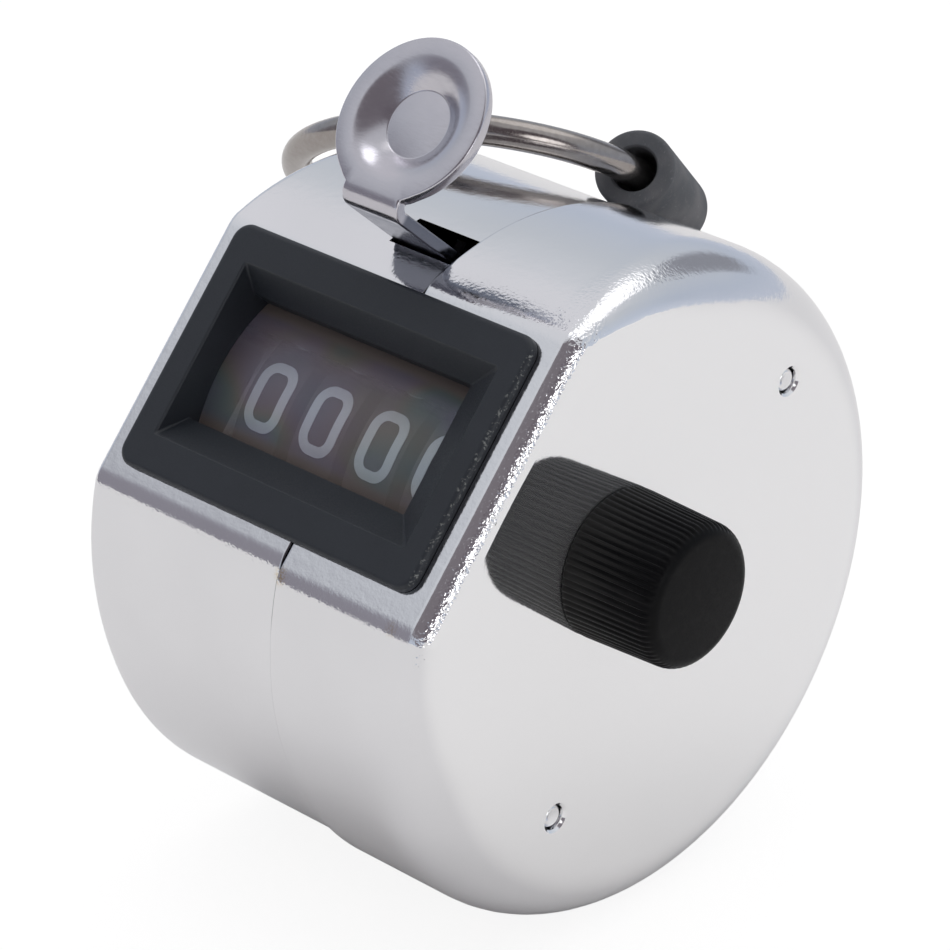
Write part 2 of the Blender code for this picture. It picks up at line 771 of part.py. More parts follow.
def feed_pawl():
    """A four-fingered pawl that pushes the ratchets on as the lever goes down."""
    pivot = (0.0, *PAWL_PIN)
    y, z = PAWL_PIN
    pawl = part(
        "feed_pawl", box((-10.0, 9.2), (y - 1.1, y + 1.1), (z - 1.1, z + 1.1)), "brass", pivot
    )
    tip_y = SHAFT_Y + RATCHET_RADIUS + FINGER_TIP_GAP
    finger = [(y - 0.9, z + 0.8), (y - 0.9, z - 0.8), (tip_y, z - 0.5), (tip_y, z + 0.1)]
    fuse(pawl, *comb_fingers(finger[::-1]))
    cut(pawl, rod((-20.0, 20.0), PAWL_PIN, PAWL_PIN_RADIUS + 0.12, 16))


def pawl_pin():
    pivot = (0.0, *LEVER_PIVOT)
    part("pawl_pin", rod((-12.9, 12.1), PAWL_PIN, PAWL_PIN_RADIUS, 16), "steel", pivot)


def pawl_spring():
    """Light torsion spring on the pawl pin, between the left arm and the pawl."""
    pivot = (0.0, *LEVER_PIVOT)
    points = coil(PAWL_PIN, 0.98, (-11.5, -10.4), 2.5, 12)
    part("pawl_spring", wire(points, 0.17), "spring_steel", pivot)


# Finger ring


def sleeve_frame():
    """Centre, axis and outward direction of the sleeve behind the top of the case."""
    angle = math.radians(SLEEVE_ANGLE)
    skew = math.radians(SLEEVE_SKEW)
    outward = Vector((0.0, math.sin(angle), math.cos(angle)))
    tilt = math.radians(SLEEVE_TILT)
    tangent = Vector((0.0, math.cos(angle), -math.sin(angle)))
    level = tangent * math.cos(skew) - Vector((1.0, 0.0, 0.0)) * math.sin(skew)
    axis = level * math.cos(tilt) + outward * math.sin(tilt)
    distance = CASE_RADIUS - LEFT_STEP + SLEEVE_RADIUS + SLEEVE_GAP
    centre = Vector((SLEEVE_X, 0.0, 0.0)) + outward * distance
    return centre, axis, outward


def onto(mesh, centre, z_axis, x_hint):
    """Moves a Z-axis shape so that its Z runs along z_axis through centre."""
    z = Vector(z_axis).normalized()
    x = (Vector(x_hint) - z * z.dot(Vector(x_hint))).normalized()
    turn = Matrix((x, z.cross(x), z)).transposed().to_4x4()
    mesh.transform(Matrix.Translation(centre) @ turn)
    return mesh


def ring_stud_hole():
    centre, _, outward = sleeve_frame()
    hole = turned([(0.0, 0.0), (1.3, 0.0), (1.3, -8.0), (0.0, -8.0)], 16)
    return onto(hole, centre, outward, (1, 0, 0))


def ring_sleeve():
    """The rubber sleeve that the ring's wire turns in."""
    centre, axis, outward = sleeve_frame()
    half = SLEEVE_LENGTH / 2
    section = [
        (SLEEVE_BORE, half),
        (SLEEVE_RADIUS - 0.25, half),
        (SLEEVE_RADIUS, half - 0.25),
        (SLEEVE_RADIUS, 0.25 - half),
        (SLEEVE_RADIUS - 0.25, -half),
        (SLEEVE_BORE, -half),
        (SLEEVE_BORE, half),
    ]
    sleeve = part("ring_sleeve", onto(turned(section, 32), centre, axis, outward), "rubber")
    pocket = turned([(0.0, -1.85), (1.1, -1.85), (1.1, -5.0), (0.0, -5.0)], 16)
    cut(sleeve, onto(pocket, centre, outward, (1, 0, 0)))


def ring_stud():
    """The headed stud that holds the sleeve to the left shell."""
    centre, _, outward = sleeve_frame()
    head = SLEEVE_RADIUS + SLEEVE_GAP + WALL
    profile = [(0.0, -1.95), (0.95, -1.95), (0.95, -head - 0.1)]
    profile += [(2.0, -head - 0.1), (2.0, -head - 0.9), (0.0, -head - 0.9)]
    part("ring_stud", onto(turned(profile, 20), centre, outward, (1, 0, 0)), "steel")


def finger_ring():
    """A round wire ring, pulled straight where it runs through the sleeve."""
    centre, axis, outward = sleeve_frame()
    lean = math.radians(RING_LEAN)
    level = outward.cross(axis).normalized()
    up = axis.cross(level)
    away = level * math.cos(lean) - up * math.sin(lean)
    offset = math.sqrt(RING_RADIUS**2 - RING_CHORD**2)
    count = 60
    points = []
    for i in range(count):
        angle = 2 * math.pi * (i + 0.5) / count
        along = RING_RADIUS * math.sin(angle)
        out = max(0.0, offset - RING_RADIUS * math.cos(angle))
        points.append(centre + axis * along + away * out)
    ring = wire(points, RING_WIRE, closed=True, resolution=2)
    part("finger_ring", ring, "nickel", centre)


def build():
    clear_scene()
    new_collection(PARTS)
    new_collection(CUTTERS)
    window_frame()
    new_material("chrome", (0.82, 0.83, 0.85), 0.12, 1.0)
    new_material("nickel", (0.62, 0.60, 0.62), 0.25, 1.0)
    new_material("steel", (0.50, 0.50, 0.50), 0.35, 1.0)
    new_material("spring_steel", (0.40, 0.40, 0.42), 0.30, 1.0)
    new_material("brass", (0.72, 0.55, 0.25), 0.30, 1.0)
    new_material("bezel_plastic", (0.03, 0.033, 0.038), 0.45)
    new_material("wheel_plastic", (0.06, 0.055, 0.055), 0.5)
    new_material("knob_plastic", (0.006, 0.006, 0.007), 0.4)
    new_material("rubber", (0.07, 0.068, 0.07), 0.8)
    new_material("lens", (0.8, 0.8, 0.8), 0.05, 0.0, 0.3)
    left_shell()
    right_shell()
    bezel()
    window_lens()
    frame_plates()
    frame_post("frame_post_upper", UPPER_POST)
    frame_post("frame_post_lower", LOWER_POST)
    shaft_bush()
    shaft_washer()
    detent()
    for index in range(len(WHEEL_NAMES)):
        number_wheel(index)
    reset_shaft()
    shaft_clip()
    reset_knob()
    thumb_lever()
    lever_pivot_pin()
    lever_return_spring()
    feed_pawl()
    pawl_pin()
    pawl_spring()
    ring_sleeve()
    ring_stud()
    finger_ring()


build()
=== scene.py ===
"""Hand tally counter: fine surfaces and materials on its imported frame.

New pieces are modelled in millimetres in the window's frame: X runs along the wheel shaft towards
the reset knob, Y up along the window and Z out of it, from the middle of the round case's axis.
The matrix WINDOW takes that frame to the counter's own, in metres.
"""

import json
import math

import bmesh
import bpy
from mathutils import Matrix, Vector
from mathutils.bvhtree import BVHTree
from mathutils.interpolate import poly_3d_calc


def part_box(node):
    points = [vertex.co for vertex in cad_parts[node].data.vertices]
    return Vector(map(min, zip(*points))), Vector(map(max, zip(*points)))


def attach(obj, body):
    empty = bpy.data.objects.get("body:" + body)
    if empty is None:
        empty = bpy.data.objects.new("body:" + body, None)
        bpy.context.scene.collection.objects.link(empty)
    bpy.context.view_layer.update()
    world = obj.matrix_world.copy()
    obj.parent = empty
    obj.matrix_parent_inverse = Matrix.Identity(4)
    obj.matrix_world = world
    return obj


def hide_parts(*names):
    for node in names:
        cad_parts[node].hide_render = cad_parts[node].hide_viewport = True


MM = 0.001
WINDOW_LEAN = 48.0  # degrees from the vertical to the window's own plane

# Sheet metal
WALL = 0.8
LEFT_EDGE = (0.5, 1.7)  # rounding of the closed face's edge, beside the flat and round the case
RIGHT_EDGE = (1.3, 4.5)
EDGE_GROWTH = (22.0, 65.0)  # degrees from the flat's normal between which it grows
FOLD_RADIUS = 2.6  # where the flat round the window folds into the round case
LIP_LENGTH = 2.8
LIP_CLEARANCE = 0.3
RIM_EDGE = 0.1

# Frame posts: radius and length of their ends, and radius between the plates
POST_LEFT = (0.8, 1.2)
POST_RIGHT = (0.78, 5.0)
POST_BODY = 1.3
POST_DOME = 0.25
POST_HOLE = 0.84

# Window
OPENING_X = (-10.8, 7.6)
OPENING_Y = (-3.4, 5.25)
OPENING_Z = 18.3
RECESS_X = (-10.9, 10.35)
RECESS_Y = (-5.3, 6.55)
BEZEL_CORNER = 1.2
BEZEL_EDGE = 0.32
PLUG_INSET = 1.1
LENS_RISE = 0.45  # how far the lens bulges above its CAD shape
LENS_ARC = (52, 124)  # degrees about the shaft
LENS_THICKNESS = 0.5
LENS_SHADE = (2.3, 4.2)  # Y where the shade under the bezel's top starts and is full
RAINBOW = (
    (0.25, (0.34, 0.37, 0.44)),
    (0.38, (0.39, 0.36, 0.46)),
    (0.46, (0.42, 0.35, 0.41)),
    (0.52, (0.40, 0.37, 0.32)),
    (0.58, (0.30, 0.38, 0.37)),
    (0.66, (0.33, 0.34, 0.46)),
    (0.80, (0.41, 0.39, 0.40)),
)

# Number wheels
WHEEL_NAMES = ("thousands", "hundreds", "tens", "units")
WHEEL_WIDTH = 3.75
BORE_RADIUS = 1.65
RIM_INSIDE = 7.8
WEB = 1.3
RATCHET_TEETH = 10
RATCHET_ROOT = 2.6
RATCHET_DEPTH = 0.7
RATCHET_RISE = 33.0  # degrees over which a tooth rises
NUMBER_WIDTH = 2.25  # between the middles of the strokes
NUMBER_HEIGHT = 3.9
STROKE = 0.68
PAINT = 0.035
NUMBER_DROP = -1.8  # degrees that the showing number sits below the shaft's level

# Thumb lever
SHEET = 0.8
LEVER_WIDTH = 4.5
BEND_RADIUS = 1.15
STEM_FOOT = 9.0  # lowest Z of the stem, inside the case
DISH_BOTTOM = 2.2
DISH_TOP = 4.2
DISH_DEPTH = 1.0
PAD_STEPS = 96

# Knob
KNOB_RIBS = 66
KNOB_RIB_DEPTH = 0.13
KNOB_EDGE = 0.95
KNOB_GAP = 0.08  # between the knob and the case

# Finger ring
SLEEVE_BORE = 1.5
RING_WIRE = 1.0
RING_CHORD = 3.4

# Surroundings: colours by the sine of the elevation, then patches laid over them as azimuth,
# elevation, inner and outer radius in degrees, and colour
SKY = (
    (0.0, (0.56, 0.60, 0.70)),
    (0.17, (0.50, 0.55, 0.65)),
    (0.5, (0.58, 0.61, 0.66)),
    (0.75, (0.72, 0.73, 0.77)),
    (1.0, (0.66, 0.67, 0.70)),
)
PATCHES = (
    (-48, 8, 12, 30, (0.27, 0.26, 0.30)),
    (-107, 50, 8, 20, (0.74, 0.74, 0.78)),
    (-90, 71, 6, 11, (2.3, 2.3, 2.4)),
    (14, 44, 26, 38, (0.20, 0.18, 0.20)),
    (70, 24, 24, 34, (0.16, 0.14, 0.16)),
    (76, 16, 10, 15, (2.4, 2.4, 2.45)),
    (-178, 22, 7, 14, (0.28, 0.29, 0.33)),
    (175, 58, 15, 24, (1.30, 1.30, 1.32)),
)
OVERHEAD = 0.60  # strength of the overhead sun
FRONT = 3.4  # power of the spot on the window
FRONT_PLACE = (0.0, -260.0, 430.0)
FLOOR_GLOW = 1.1
CAMERA_PLACE = (0.16147, -0.17216, 0.12640)  # metres from the middle of the case
CAMERA_TURN = (43.46, 27.48)  # azimuth and elevation in degrees
FOCAL_LENGTH = 160.456

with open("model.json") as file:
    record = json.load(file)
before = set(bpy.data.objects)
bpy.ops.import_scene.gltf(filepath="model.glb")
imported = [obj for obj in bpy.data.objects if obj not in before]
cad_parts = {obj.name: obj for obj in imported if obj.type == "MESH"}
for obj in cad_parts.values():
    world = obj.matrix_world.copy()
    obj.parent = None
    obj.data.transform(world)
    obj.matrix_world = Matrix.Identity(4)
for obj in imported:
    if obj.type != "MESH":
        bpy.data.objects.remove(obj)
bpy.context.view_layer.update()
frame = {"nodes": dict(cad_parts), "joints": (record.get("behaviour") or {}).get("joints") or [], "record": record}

HALF_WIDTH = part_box("right_shell")[1].x / 2  # metres
LEAN = Matrix.Rotation(math.radians(WINDOW_LEAN), 4, "X")
UPRIGHT = Matrix.Translation((HALF_WIDTH, 0, 0)) @ Matrix.Scale(MM, 4)
WINDOW = UPRIGHT @ LEAN


# Measures of the frame, in the window's frame


def corners(node):
    into = WINDOW.inverted()
    return [into @ vertex.co for vertex in frame["nodes"][node].data.vertices]


def span(node, above=-100.0):
    """Lowest and highest corner of a CAD node, or of its part above a Z."""
    points = [point for point in corners(node) if point.z > above]
    low = Vector([min(point[i] for point in points) for i in range(3)])
    high = Vector([max(point[i] for point in points) for i in range(3)])
    return low, high


def middle(node):
    low, high = span(node)
    return (low + high) / 2


def reach(node, centre=(0.0, 0.0)):
    """Greatest distance of a CAD node from an axis along X."""
    return max(math.hypot(p.y - centre[0], p.z - centre[1]) for p in corners(node))


def joint_place(name):
    """Position and axis of a joint."""
    found = next(joint for joint in frame["joints"] if joint["name"] == name)
    into = WINDOW.inverted()
    axis = into.to_3x3() @ Vector(found["axis"])
    return into @ Vector(found["pos_m"]), axis.normalized()


SHAFT = joint_place("units_turn")[0].yz
CASE_END = span("right_shell")[1].x
WINDOW_PLANE = span("right_shell")[1].z
SEAM_X = span("right_shell")[0].x - 0.1
BEZEL_LOW, BEZEL_HIGH = span("bezel")
PAD_LOW, PAD_HIGH = span("thumb_lever", above=span("thumb_lever")[1].z - SHEET - 0.05)
LEVER_X = (PAD_LOW.x + PAD_HIGH.x) / 2


# Points


def spread(first, last, count):
    return [first + (last - first) * i / (count - 1) for i in range(count)]


def bow(centre, radii, start, end, count=20):
    """Points of an elliptical arc in degrees, both ends included."""
    made = []
    for angle in spread(math.radians(start), math.radians(end), count):
        across, up = radii[0] * math.cos(angle), radii[1] * math.sin(angle)
        made.append((centre[0] + across, centre[1] + up))
    return made


def arc(centre, radius, start, end, count):
    return bow(centre, (radius, radius), start, end, count)


def quarter(steps):
    """Angles of a quarter turn in radians, both ends included."""
    return [math.radians(90 * i / steps) for i in range(steps + 1)]


def circle_at(x, radius, centre=SHAFT, count=128):
    """A ring across X. The radius is a number or a function of the angle in radians."""
    made = []
    for i in range(count):
        angle = 2 * math.pi * i / count
        size = radius(angle) if callable(radius) else radius
        made.append((x, centre[0] + size * math.cos(angle), centre[1] + size * math.sin(angle)))
    return made


def circle_about(centre, first, second, radius, count):
    """A ring of points in the plane of two directions."""
    made = []
    for i in range(count):
        angle = 2 * math.pi * i / count
        offset = first * (radius * math.cos(angle)) + second * (radius * math.sin(angle))
        made.append(tuple(centre + offset))
    return made


def rounded_rectangle(x, y, radius, z, inset=0.0):
    """A ring across Z, drawn in on every side by an inset."""
    x = (x[0] + inset, x[1] - inset)
    y = (y[0] + inset, y[1] - inset)
    places = (
        (x[1] - radius, y[1] - radius, 0),
        (x[0] + radius, y[1] - radius, 90),
        (x[0] + radius, y[0] + radius, 180),
        (x[1] - radius, y[0] + radius, 270),
    )
    points = []
    for cx, cy, start in places:
        points += arc((cx, cy), radius, start, start + 90, 9)
    return [(px, py, z) for px, py in points]


def smooth_step(low, high, value):
    share = min(1.0, max(0.0, (value - low) / (high - low)))
    return share * share * (3 - 2 * share)


# Meshes and pieces


def join_rows(bm, rows, closed):
    """Faces between closed rows of points, with flat ends unless the rows close on themselves."""
    count = len(rows[0])
    pairs = list(zip(rows, rows[1:]))
    if closed:
        pairs.append((rows[-1], rows[0]))
    for one, other in pairs:
        for i in range(count):
            after = (i + 1) % count
            bm.faces.new((one[i], one[after], other[after], other[i]))
    if not closed:
        bm.faces.new(rows[0])
        bm.faces.new(rows[-1])


def loft(rings, closed=False):
    bm = bmesh.new()
    join_rows(bm, [[bm.verts.new(point) for point in ring] for ring in rings], closed)
    return finished(bm)


def stored(bm):
    mesh = bpy.data.meshes.new("piece")
    bm.to_mesh(mesh)
    bm.free()
    return mesh


def finished(bm):
    """The mesh of a closed shape, facing outwards."""
    bmesh.ops.recalc_face_normals(bm, faces=bm.faces)
    if bm.calc_volume(signed=True) < 0:
        bmesh.ops.reverse_faces(bm, faces=bm.faces)
    return stored(bm)


def block(x, y, z):
    ring = [(x[0], y[0]), (x[1], y[0]), (x[1], y[1]), (x[0], y[1])]
    return loft([[(px, py, level) for px, py in ring] for level in z])


def slab(outline, x):
    """A flat shape across X from a (y, z) outline."""
    return loft([[(level, py, pz) for py, pz in outline] for level in x])


def rod(x, centre, radius, count=48):
    return loft([circle_at(level, radius, centre, count) for level in x])


def placed(name, data):
    """A new object in the scene."""
    made = bpy.data.objects.new(name, data)
    bpy.context.scene.collection.objects.link(made)
    return made


def evaluated(base):
    graph = bpy.context.evaluated_depsgraph_get()
    return bpy.data.meshes.new_from_object(base.evaluated_get(graph))


def combined(mesh, others, operation):
    """The mesh cut by, or joined with, the others."""
    base, *tools = [placed("helper", used) for used in (mesh, *others)]
    for tool in tools:
        modifier = base.modifiers.new("tool", "BOOLEAN")
        modifier.operation = operation
        modifier.object = tool
    made = evaluated(base)
    for used in (base, *tools):
        bpy.data.objects.remove(used, do_unlink=True)
    return made


def piece(name, mesh, material, body, replaces=(), sharp=32):
    """Places a mesh of the window's frame as a named piece that rides on a body."""
    mesh.transform(LEAN)
    mesh.shade_smooth()
    mesh.set_sharp_from_angle(angle=math.radians(sharp))
    made = placed(name, mesh)
    made.matrix_world = UPRIGHT
    mesh.materials.clear()
    mesh.materials.append(material)
    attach(made, body)
    if replaces:
        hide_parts(*replaces)
    return made


# Materials


class Nodes:
    """A node tree, with short calls that add and link nodes."""

    def __init__(self, tree, coordinates):
        self.tree = tree
        self.place = self.add("ShaderNodeTexCoord").outputs[coordinates]

    def add(self, kind, **settings):
        made = self.tree.nodes.new(kind)
        for key, value in settings.items():
            setattr(made, key, value)
        return made

    def put(self, socket, value):
        """Links a socket to an input, or sets the input's value."""
        if isinstance(value, bpy.types.NodeSocket):
            self.tree.links.new(value, socket)
        elif isinstance(value, tuple) and len(value) < len(socket.default_value):
            socket.default_value = (*value, 1.0)
        else:
            socket.default_value = value

    def math(self, operation, *values):
        made = self.add("ShaderNodeMath", operation=operation)
        for socket, value in zip(made.inputs, values):
            self.put(socket, value)
        return made.outputs[0]

    def times(self, first, *others):
        for other in others:
            first = self.math("MULTIPLY", first, other)
        return first

    def vector(self, operation, first, second):
        made = self.add("ShaderNodeVectorMath", operation=operation)
        self.put(made.inputs[0], first)
        self.put(made.inputs[1], second)
        return made.outputs["Value" if operation in ("DOT_PRODUCT", "DISTANCE") else "Vector"]

    def axis(self, index):
        """One coordinate of the place."""
        made = self.add("ShaderNodeSeparateXYZ")
        self.put(made.inputs[0], self.place)
        return made.outputs[index]

    def stretched(self, scale):
        return self.vector("MULTIPLY", self.place, scale)

    def noise(self, scale, detail=2.0, place=None, roughness=0.5):
        made = self.add("ShaderNodeTexNoise")
        self.put(made.inputs["Vector"], place or self.place)
        self.put(made.inputs["Scale"], scale)
        self.put(made.inputs["Detail"], detail)
        self.put(made.inputs["Roughness"], roughness)
        return made.outputs["Fac"]

    def between(self, value, low, high, start=0.0, end=1.0, smooth=True):
        """Maps a value from one range to another, clamped."""
        made = self.add("ShaderNodeMapRange")
        made.interpolation_type = "SMOOTHSTEP" if smooth else "LINEAR"
        for socket, number in zip(made.inputs[:5], (value, low, high, start, end)):
            self.put(socket, number)
        return made.outputs[0]

    def mix(self, share, first, second):
        made = self.add("ShaderNodeMix", data_type="RGBA")
        self.put(made.inputs["Factor"], share)
        self.put(made.inputs[6], first)
        self.put(made.inputs[7], second)
        return made.outputs[2]

    def ramp(self, value, stops):
        made = self.add("ShaderNodeValToRGB")
        self.put(made.inputs[0], value)
        elements = made.color_ramp.elements
        while len(elements) < len(stops):
            elements.new(0.5)
        for element, (position, colour) in zip(elements, stops):
            element.position = position
            element.color = (*colour, 1.0)
        return made.outputs[0]

    def bump(self, height, distance, strength=1.0, normal=None):
        made = self.add("ShaderNodeBump")
        self.put(made.inputs["Height"], height)
        self.put(made.inputs["Distance"], distance * MM)
        self.put(made.inputs["Strength"], strength)
        if normal:
            self.put(made.inputs["Normal"], normal)
        return made.outputs[0]

    def blended(self, share, first, second):
        """A surface between two others."""
        made = self.add("ShaderNodeMixShader")
        self.put(made.inputs[0], share)
        self.put(made.inputs[1], first.outputs[0])
        self.put(made.inputs[2], second.outputs[0])
        return made


class Shader(Nodes):
    """A material, whose place is a piece's own in the window's frame."""

    def __init__(self, name):
        self.material = bpy.data.materials.new(name)
        self.material.use_nodes = True
        super().__init__(self.material.node_tree, "Object")
        self.surface = self.tree.nodes["Principled BSDF"]
        leaned = self.add("ShaderNodeVectorRotate", rotation_type="X_AXIS")
        self.put(leaned.inputs["Vector"], self.place)
        self.put(leaned.inputs["Angle"], -math.radians(WINDOW_LEAN))
        self.place = leaned.outputs[0]

    def finish(self, colour, roughness, normal=None, **inputs):
        inputs |= {"Base Color": colour, "Roughness": roughness}
        if normal:
            inputs["Normal"] = normal
        for key, value in inputs.items():
            self.put(self.surface.inputs[key.replace("_", " ")], value)
        return self.material

    def show(self, surface):
        """Makes a surface the material's output."""
        output = next(node for node in self.tree.nodes if node.type == "OUTPUT_MATERIAL")
        self.put(output.inputs["Surface"], surface.outputs[0])
        return self.material


def near(shader, point, size):
    """One at a point, fading to nothing at the given distance in millimetres."""
    apart = shader.vector("DISTANCE", shader.place, point)
    return shader.between(apart, size, 0.2 * size)


def rough_places(shader, across, front):
    """Where the plating glitters: the right edge beside the window, the folds and the crown."""
    edge = CASE_END - RIGHT_EDGE[0]
    up = shader.axis(1)
    side = shader.times(
        front,
        shader.between(across, edge + 0.3, edge + 0.7),
        shader.between(across, CASE_END - 0.02, CASE_END - 0.12),
    )
    fold = shader.times(shader.between(shader.math("ABSOLUTE", up), 8.6, 9.6), front, 0.15)
    crown = shader.times(
        shader.between(up, 9.0, 11.0),
        shader.between(up, 19.5, 15.0),
        shader.between(across, CASE_END - 3.8, CASE_END - 2.8),
        shader.between(across, CASE_END - 0.4, CASE_END - 1.2),
        0.4,
    )
    return shader.math("MAXIMUM", shader.math("MAXIMUM", side, fold), crown)


def plating_tone(shader, across, front, grain):
    """Palest on the right face as a painted brighter reflection, brown on two worn corners, and painted shade
    darkening the seam.
    """
    tone = shader.mix(shader.noise(0.18, 1.0), (0.80, 0.80, 0.81), (0.85, 0.85, 0.86))
    # painted light: the right face is made paler to stand in for its brighter reflection
    tone = shader.mix(shader.between(across, CASE_END - 0.5, CASE_END), tone, (0.96, 0.96, 0.96))
    worn = shader.math(
        "MAXIMUM",
        near(shader, (2.5, BEZEL_LOW.y - 2.0, WINDOW_PLANE - 0.5), 0.9),
        near(shader, (BEZEL_HIGH.x - 0.4, BEZEL_LOW.y - 2.0, WINDOW_PLANE - 0.6), 0.8),
    )
    worn = shader.times(worn, shader.between(grain, 0.4, 0.6))
    tone = shader.mix(worn, tone, (0.62, 0.47, 0.22))
    # painted shade: a dark band along the seam on the front flat, where the gap lies in shadow
    beside = shader.math("ABSOLUTE", shader.math("SUBTRACT", across, SEAM_X + 0.05))
    painted_seam_shade = shader.times(shader.between(beside, 0.17, 0.09), front)
    return shader.mix(painted_seam_shade, tone, (0.03, 0.03, 0.035))


def chrome():
    """Bright plating over pressed steel, with orange peel, and smoothest on the right face."""
    shader = Shader("chrome")
    across = shader.axis(0)
    front = shader.between(shader.axis(2), WINDOW_PLANE - 2.2, WINDOW_PLANE - 1.2)
    grain = shader.noise(7.5, 3.0, roughness=0.6)

    def facing(elsewhere, right):
        """A value for the right face and another for the rest."""
        return shader.between(across, CASE_END - 0.4, CASE_END, elsewhere, right)

    calm = facing(1.0, 0.15)
    rough = shader.times(shader.between(grain, 0.35, 0.7, 0.07, 0.15), facing(1.0, 0.45))
    peel = shader.bump(shader.times(shader.noise(1.6, 2.0), calm), 0.02, 0.5)
    fine = shader.bump(shader.times(grain, calm), 0.006, 0.6, peel)
    glitter = shader.times(shader.noise(4.5, 1.0), rough_places(shader, across, front))
    normal = shader.bump(glitter, 0.08, 0.9, fine)
    colour = plating_tone(shader, across, front, grain)
    return shader.finish(colour, rough, normal, Metallic=facing(1.0, 0.93))


def nickel():
    """Satin plating on the thumb lever, with faint rubbing marks and painted shade darkening the stem below the
    pad.
    """
    shader = Shader("satin_nickel")
    grain = shader.noise(9.0, 3.0)
    marks = shader.noise(3.0, 4.0, shader.stretched((0.5, 4.0, 1.0)))
    soft = shader.noise(0.5, 1.0)
    pad = shader.mix(soft, (0.56, 0.55, 0.59), (0.64, 0.62, 0.65))
    # painted shade: the stem below the pad is darkened to stand in for its dark reflections
    low = shader.between(shader.axis(2), PAD_HIGH.z - 1.05, PAD_HIGH.z - 1.5)
    colour = shader.mix(low, pad, (0.20, 0.21, 0.25))
    rough = shader.between(marks, 0.35, 0.75, 0.16, 0.26)
    normal = shader.bump(grain, 0.006, 0.5, shader.bump(marks, 0.006, 0.4))
    return shader.finish(colour, rough, normal, Metallic=1.0)


def ring_nickel():
    """Warm bright nickel wire with fine drawing lines."""
    shader = Shader("ring_nickel")
    lines = shader.noise(2.5, 3.0)
    pits = shader.noise(11.0, 2.0)
    colour = shader.mix(lines, (0.30, 0.27, 0.25), (0.43, 0.40, 0.38))
    rough = shader.between(pits, 0.35, 0.7, 0.12, 0.24)
    normal = shader.bump(pits, 0.004, 0.6, shader.bump(lines, 0.01, 0.3))
    return shader.finish(colour, rough, normal, Metallic=1.0)


def bezel_plastic():
    """Satin black plastic, with a patchy painted highlight along its right top edge."""
    shader = Shader("bezel_plastic")
    grain = shader.noise(12.0, 3.0)
    broad = shader.noise(0.4, 3.0)
    # painted highlight: flecks of paler colour along the top of the right edge
    edge = shader.between(shader.axis(0), BEZEL_HIGH.x - 0.42, BEZEL_HIGH.x - 0.05)
    top = shader.between(shader.axis(2), BEZEL_HIGH.z - 0.5, BEZEL_HIGH.z - 0.1)
    flecks = shader.between(shader.noise(5.0, 4.0, roughness=0.7), 0.56, 0.62)
    painted_edge_highlight = shader.times(edge, top, flecks)
    plain = shader.mix(broad, (0.013, 0.016, 0.021), (0.018, 0.022, 0.028))
    colour = shader.mix(painted_edge_highlight, plain, (0.20, 0.21, 0.20))
    rough = shader.between(grain, 0.3, 0.7, 0.40, 0.55)
    normal = shader.bump(grain, 0.012, 0.5)
    return shader.finish(colour, rough, normal)


def wheel_plastic():
    shader = Shader("wheel_plastic")
    grain = shader.noise(6.0, 3.0)
    colour = shader.mix(grain, (0.050, 0.045, 0.046), (0.075, 0.066, 0.066))
    normal = shader.bump(grain, 0.01, 0.4)
    return shader.finish(colour, 0.5, normal)


def number_paint():
    shader = Shader("number_paint")
    grain = shader.noise(8.0, 3.0)
    colour = shader.mix(grain, (0.66, 0.75, 0.78), (0.80, 0.87, 0.89))
    normal = shader.bump(grain, 0.01, 0.3)
    return shader.finish(colour, 0.55, normal)


def knob_plastic():
    """Black moulded plastic with faint random scuffs, and a painted highlight along the crests of the ribs."""
    shader = Shader("knob_plastic")
    grain = shader.noise(9.0, 3.0)
    scuffs = shader.noise(1.1, 4.0, shader.stretched((0.3, 1.5, 1.5)))
    share = shader.between(scuffs, 0.45, 0.75)
    plain = shader.mix(share, (0.0022, 0.0023, 0.0026), (0.005, 0.005, 0.0053))
    # painted highlight: the rib crests are made paler to stand in for their glints
    radial = shader.vector("DISTANCE", shader.stretched((0.0, 1.0, 1.0)), (0.0, *SHAFT))
    base = reach("reset_knob", SHAFT)
    painted_rib_highlight = shader.between(radial, base - 0.22, base - 0.06)
    colour = shader.mix(painted_rib_highlight, plain, (0.020, 0.020, 0.019))
    rough = shader.between(grain, 0.3, 0.7, 0.36, 0.5)
    normal = shader.bump(grain, 0.008, 0.5)
    return shader.finish(colour, rough, normal, Specular_IOR_Level=0.10)


def rubber():
    """Dull dark rubber with pale scratches along the sleeve."""
    shader = Shader("rubber")
    grain = shader.noise(6.0, 4.0, roughness=0.65)
    lines = shader.noise(3.0, 4.0, shader.stretched((4.0, 1.0, 0.35)), 0.7)
    scratches = shader.between(lines, 0.58, 0.68)
    dusty = shader.between(shader.noise(0.35, 2.0), 0.35, 0.7)
    plain = shader.mix(dusty, (0.088, 0.093, 0.100), (0.145, 0.143, 0.147))
    colour = shader.mix(shader.times(scratches, 0.4), plain, (0.26, 0.26, 0.27))
    normal = shader.bump(grain, 0.03, 0.6, shader.bump(lines, 0.02, 0.4))
    return shader.finish(colour, 0.78, normal)


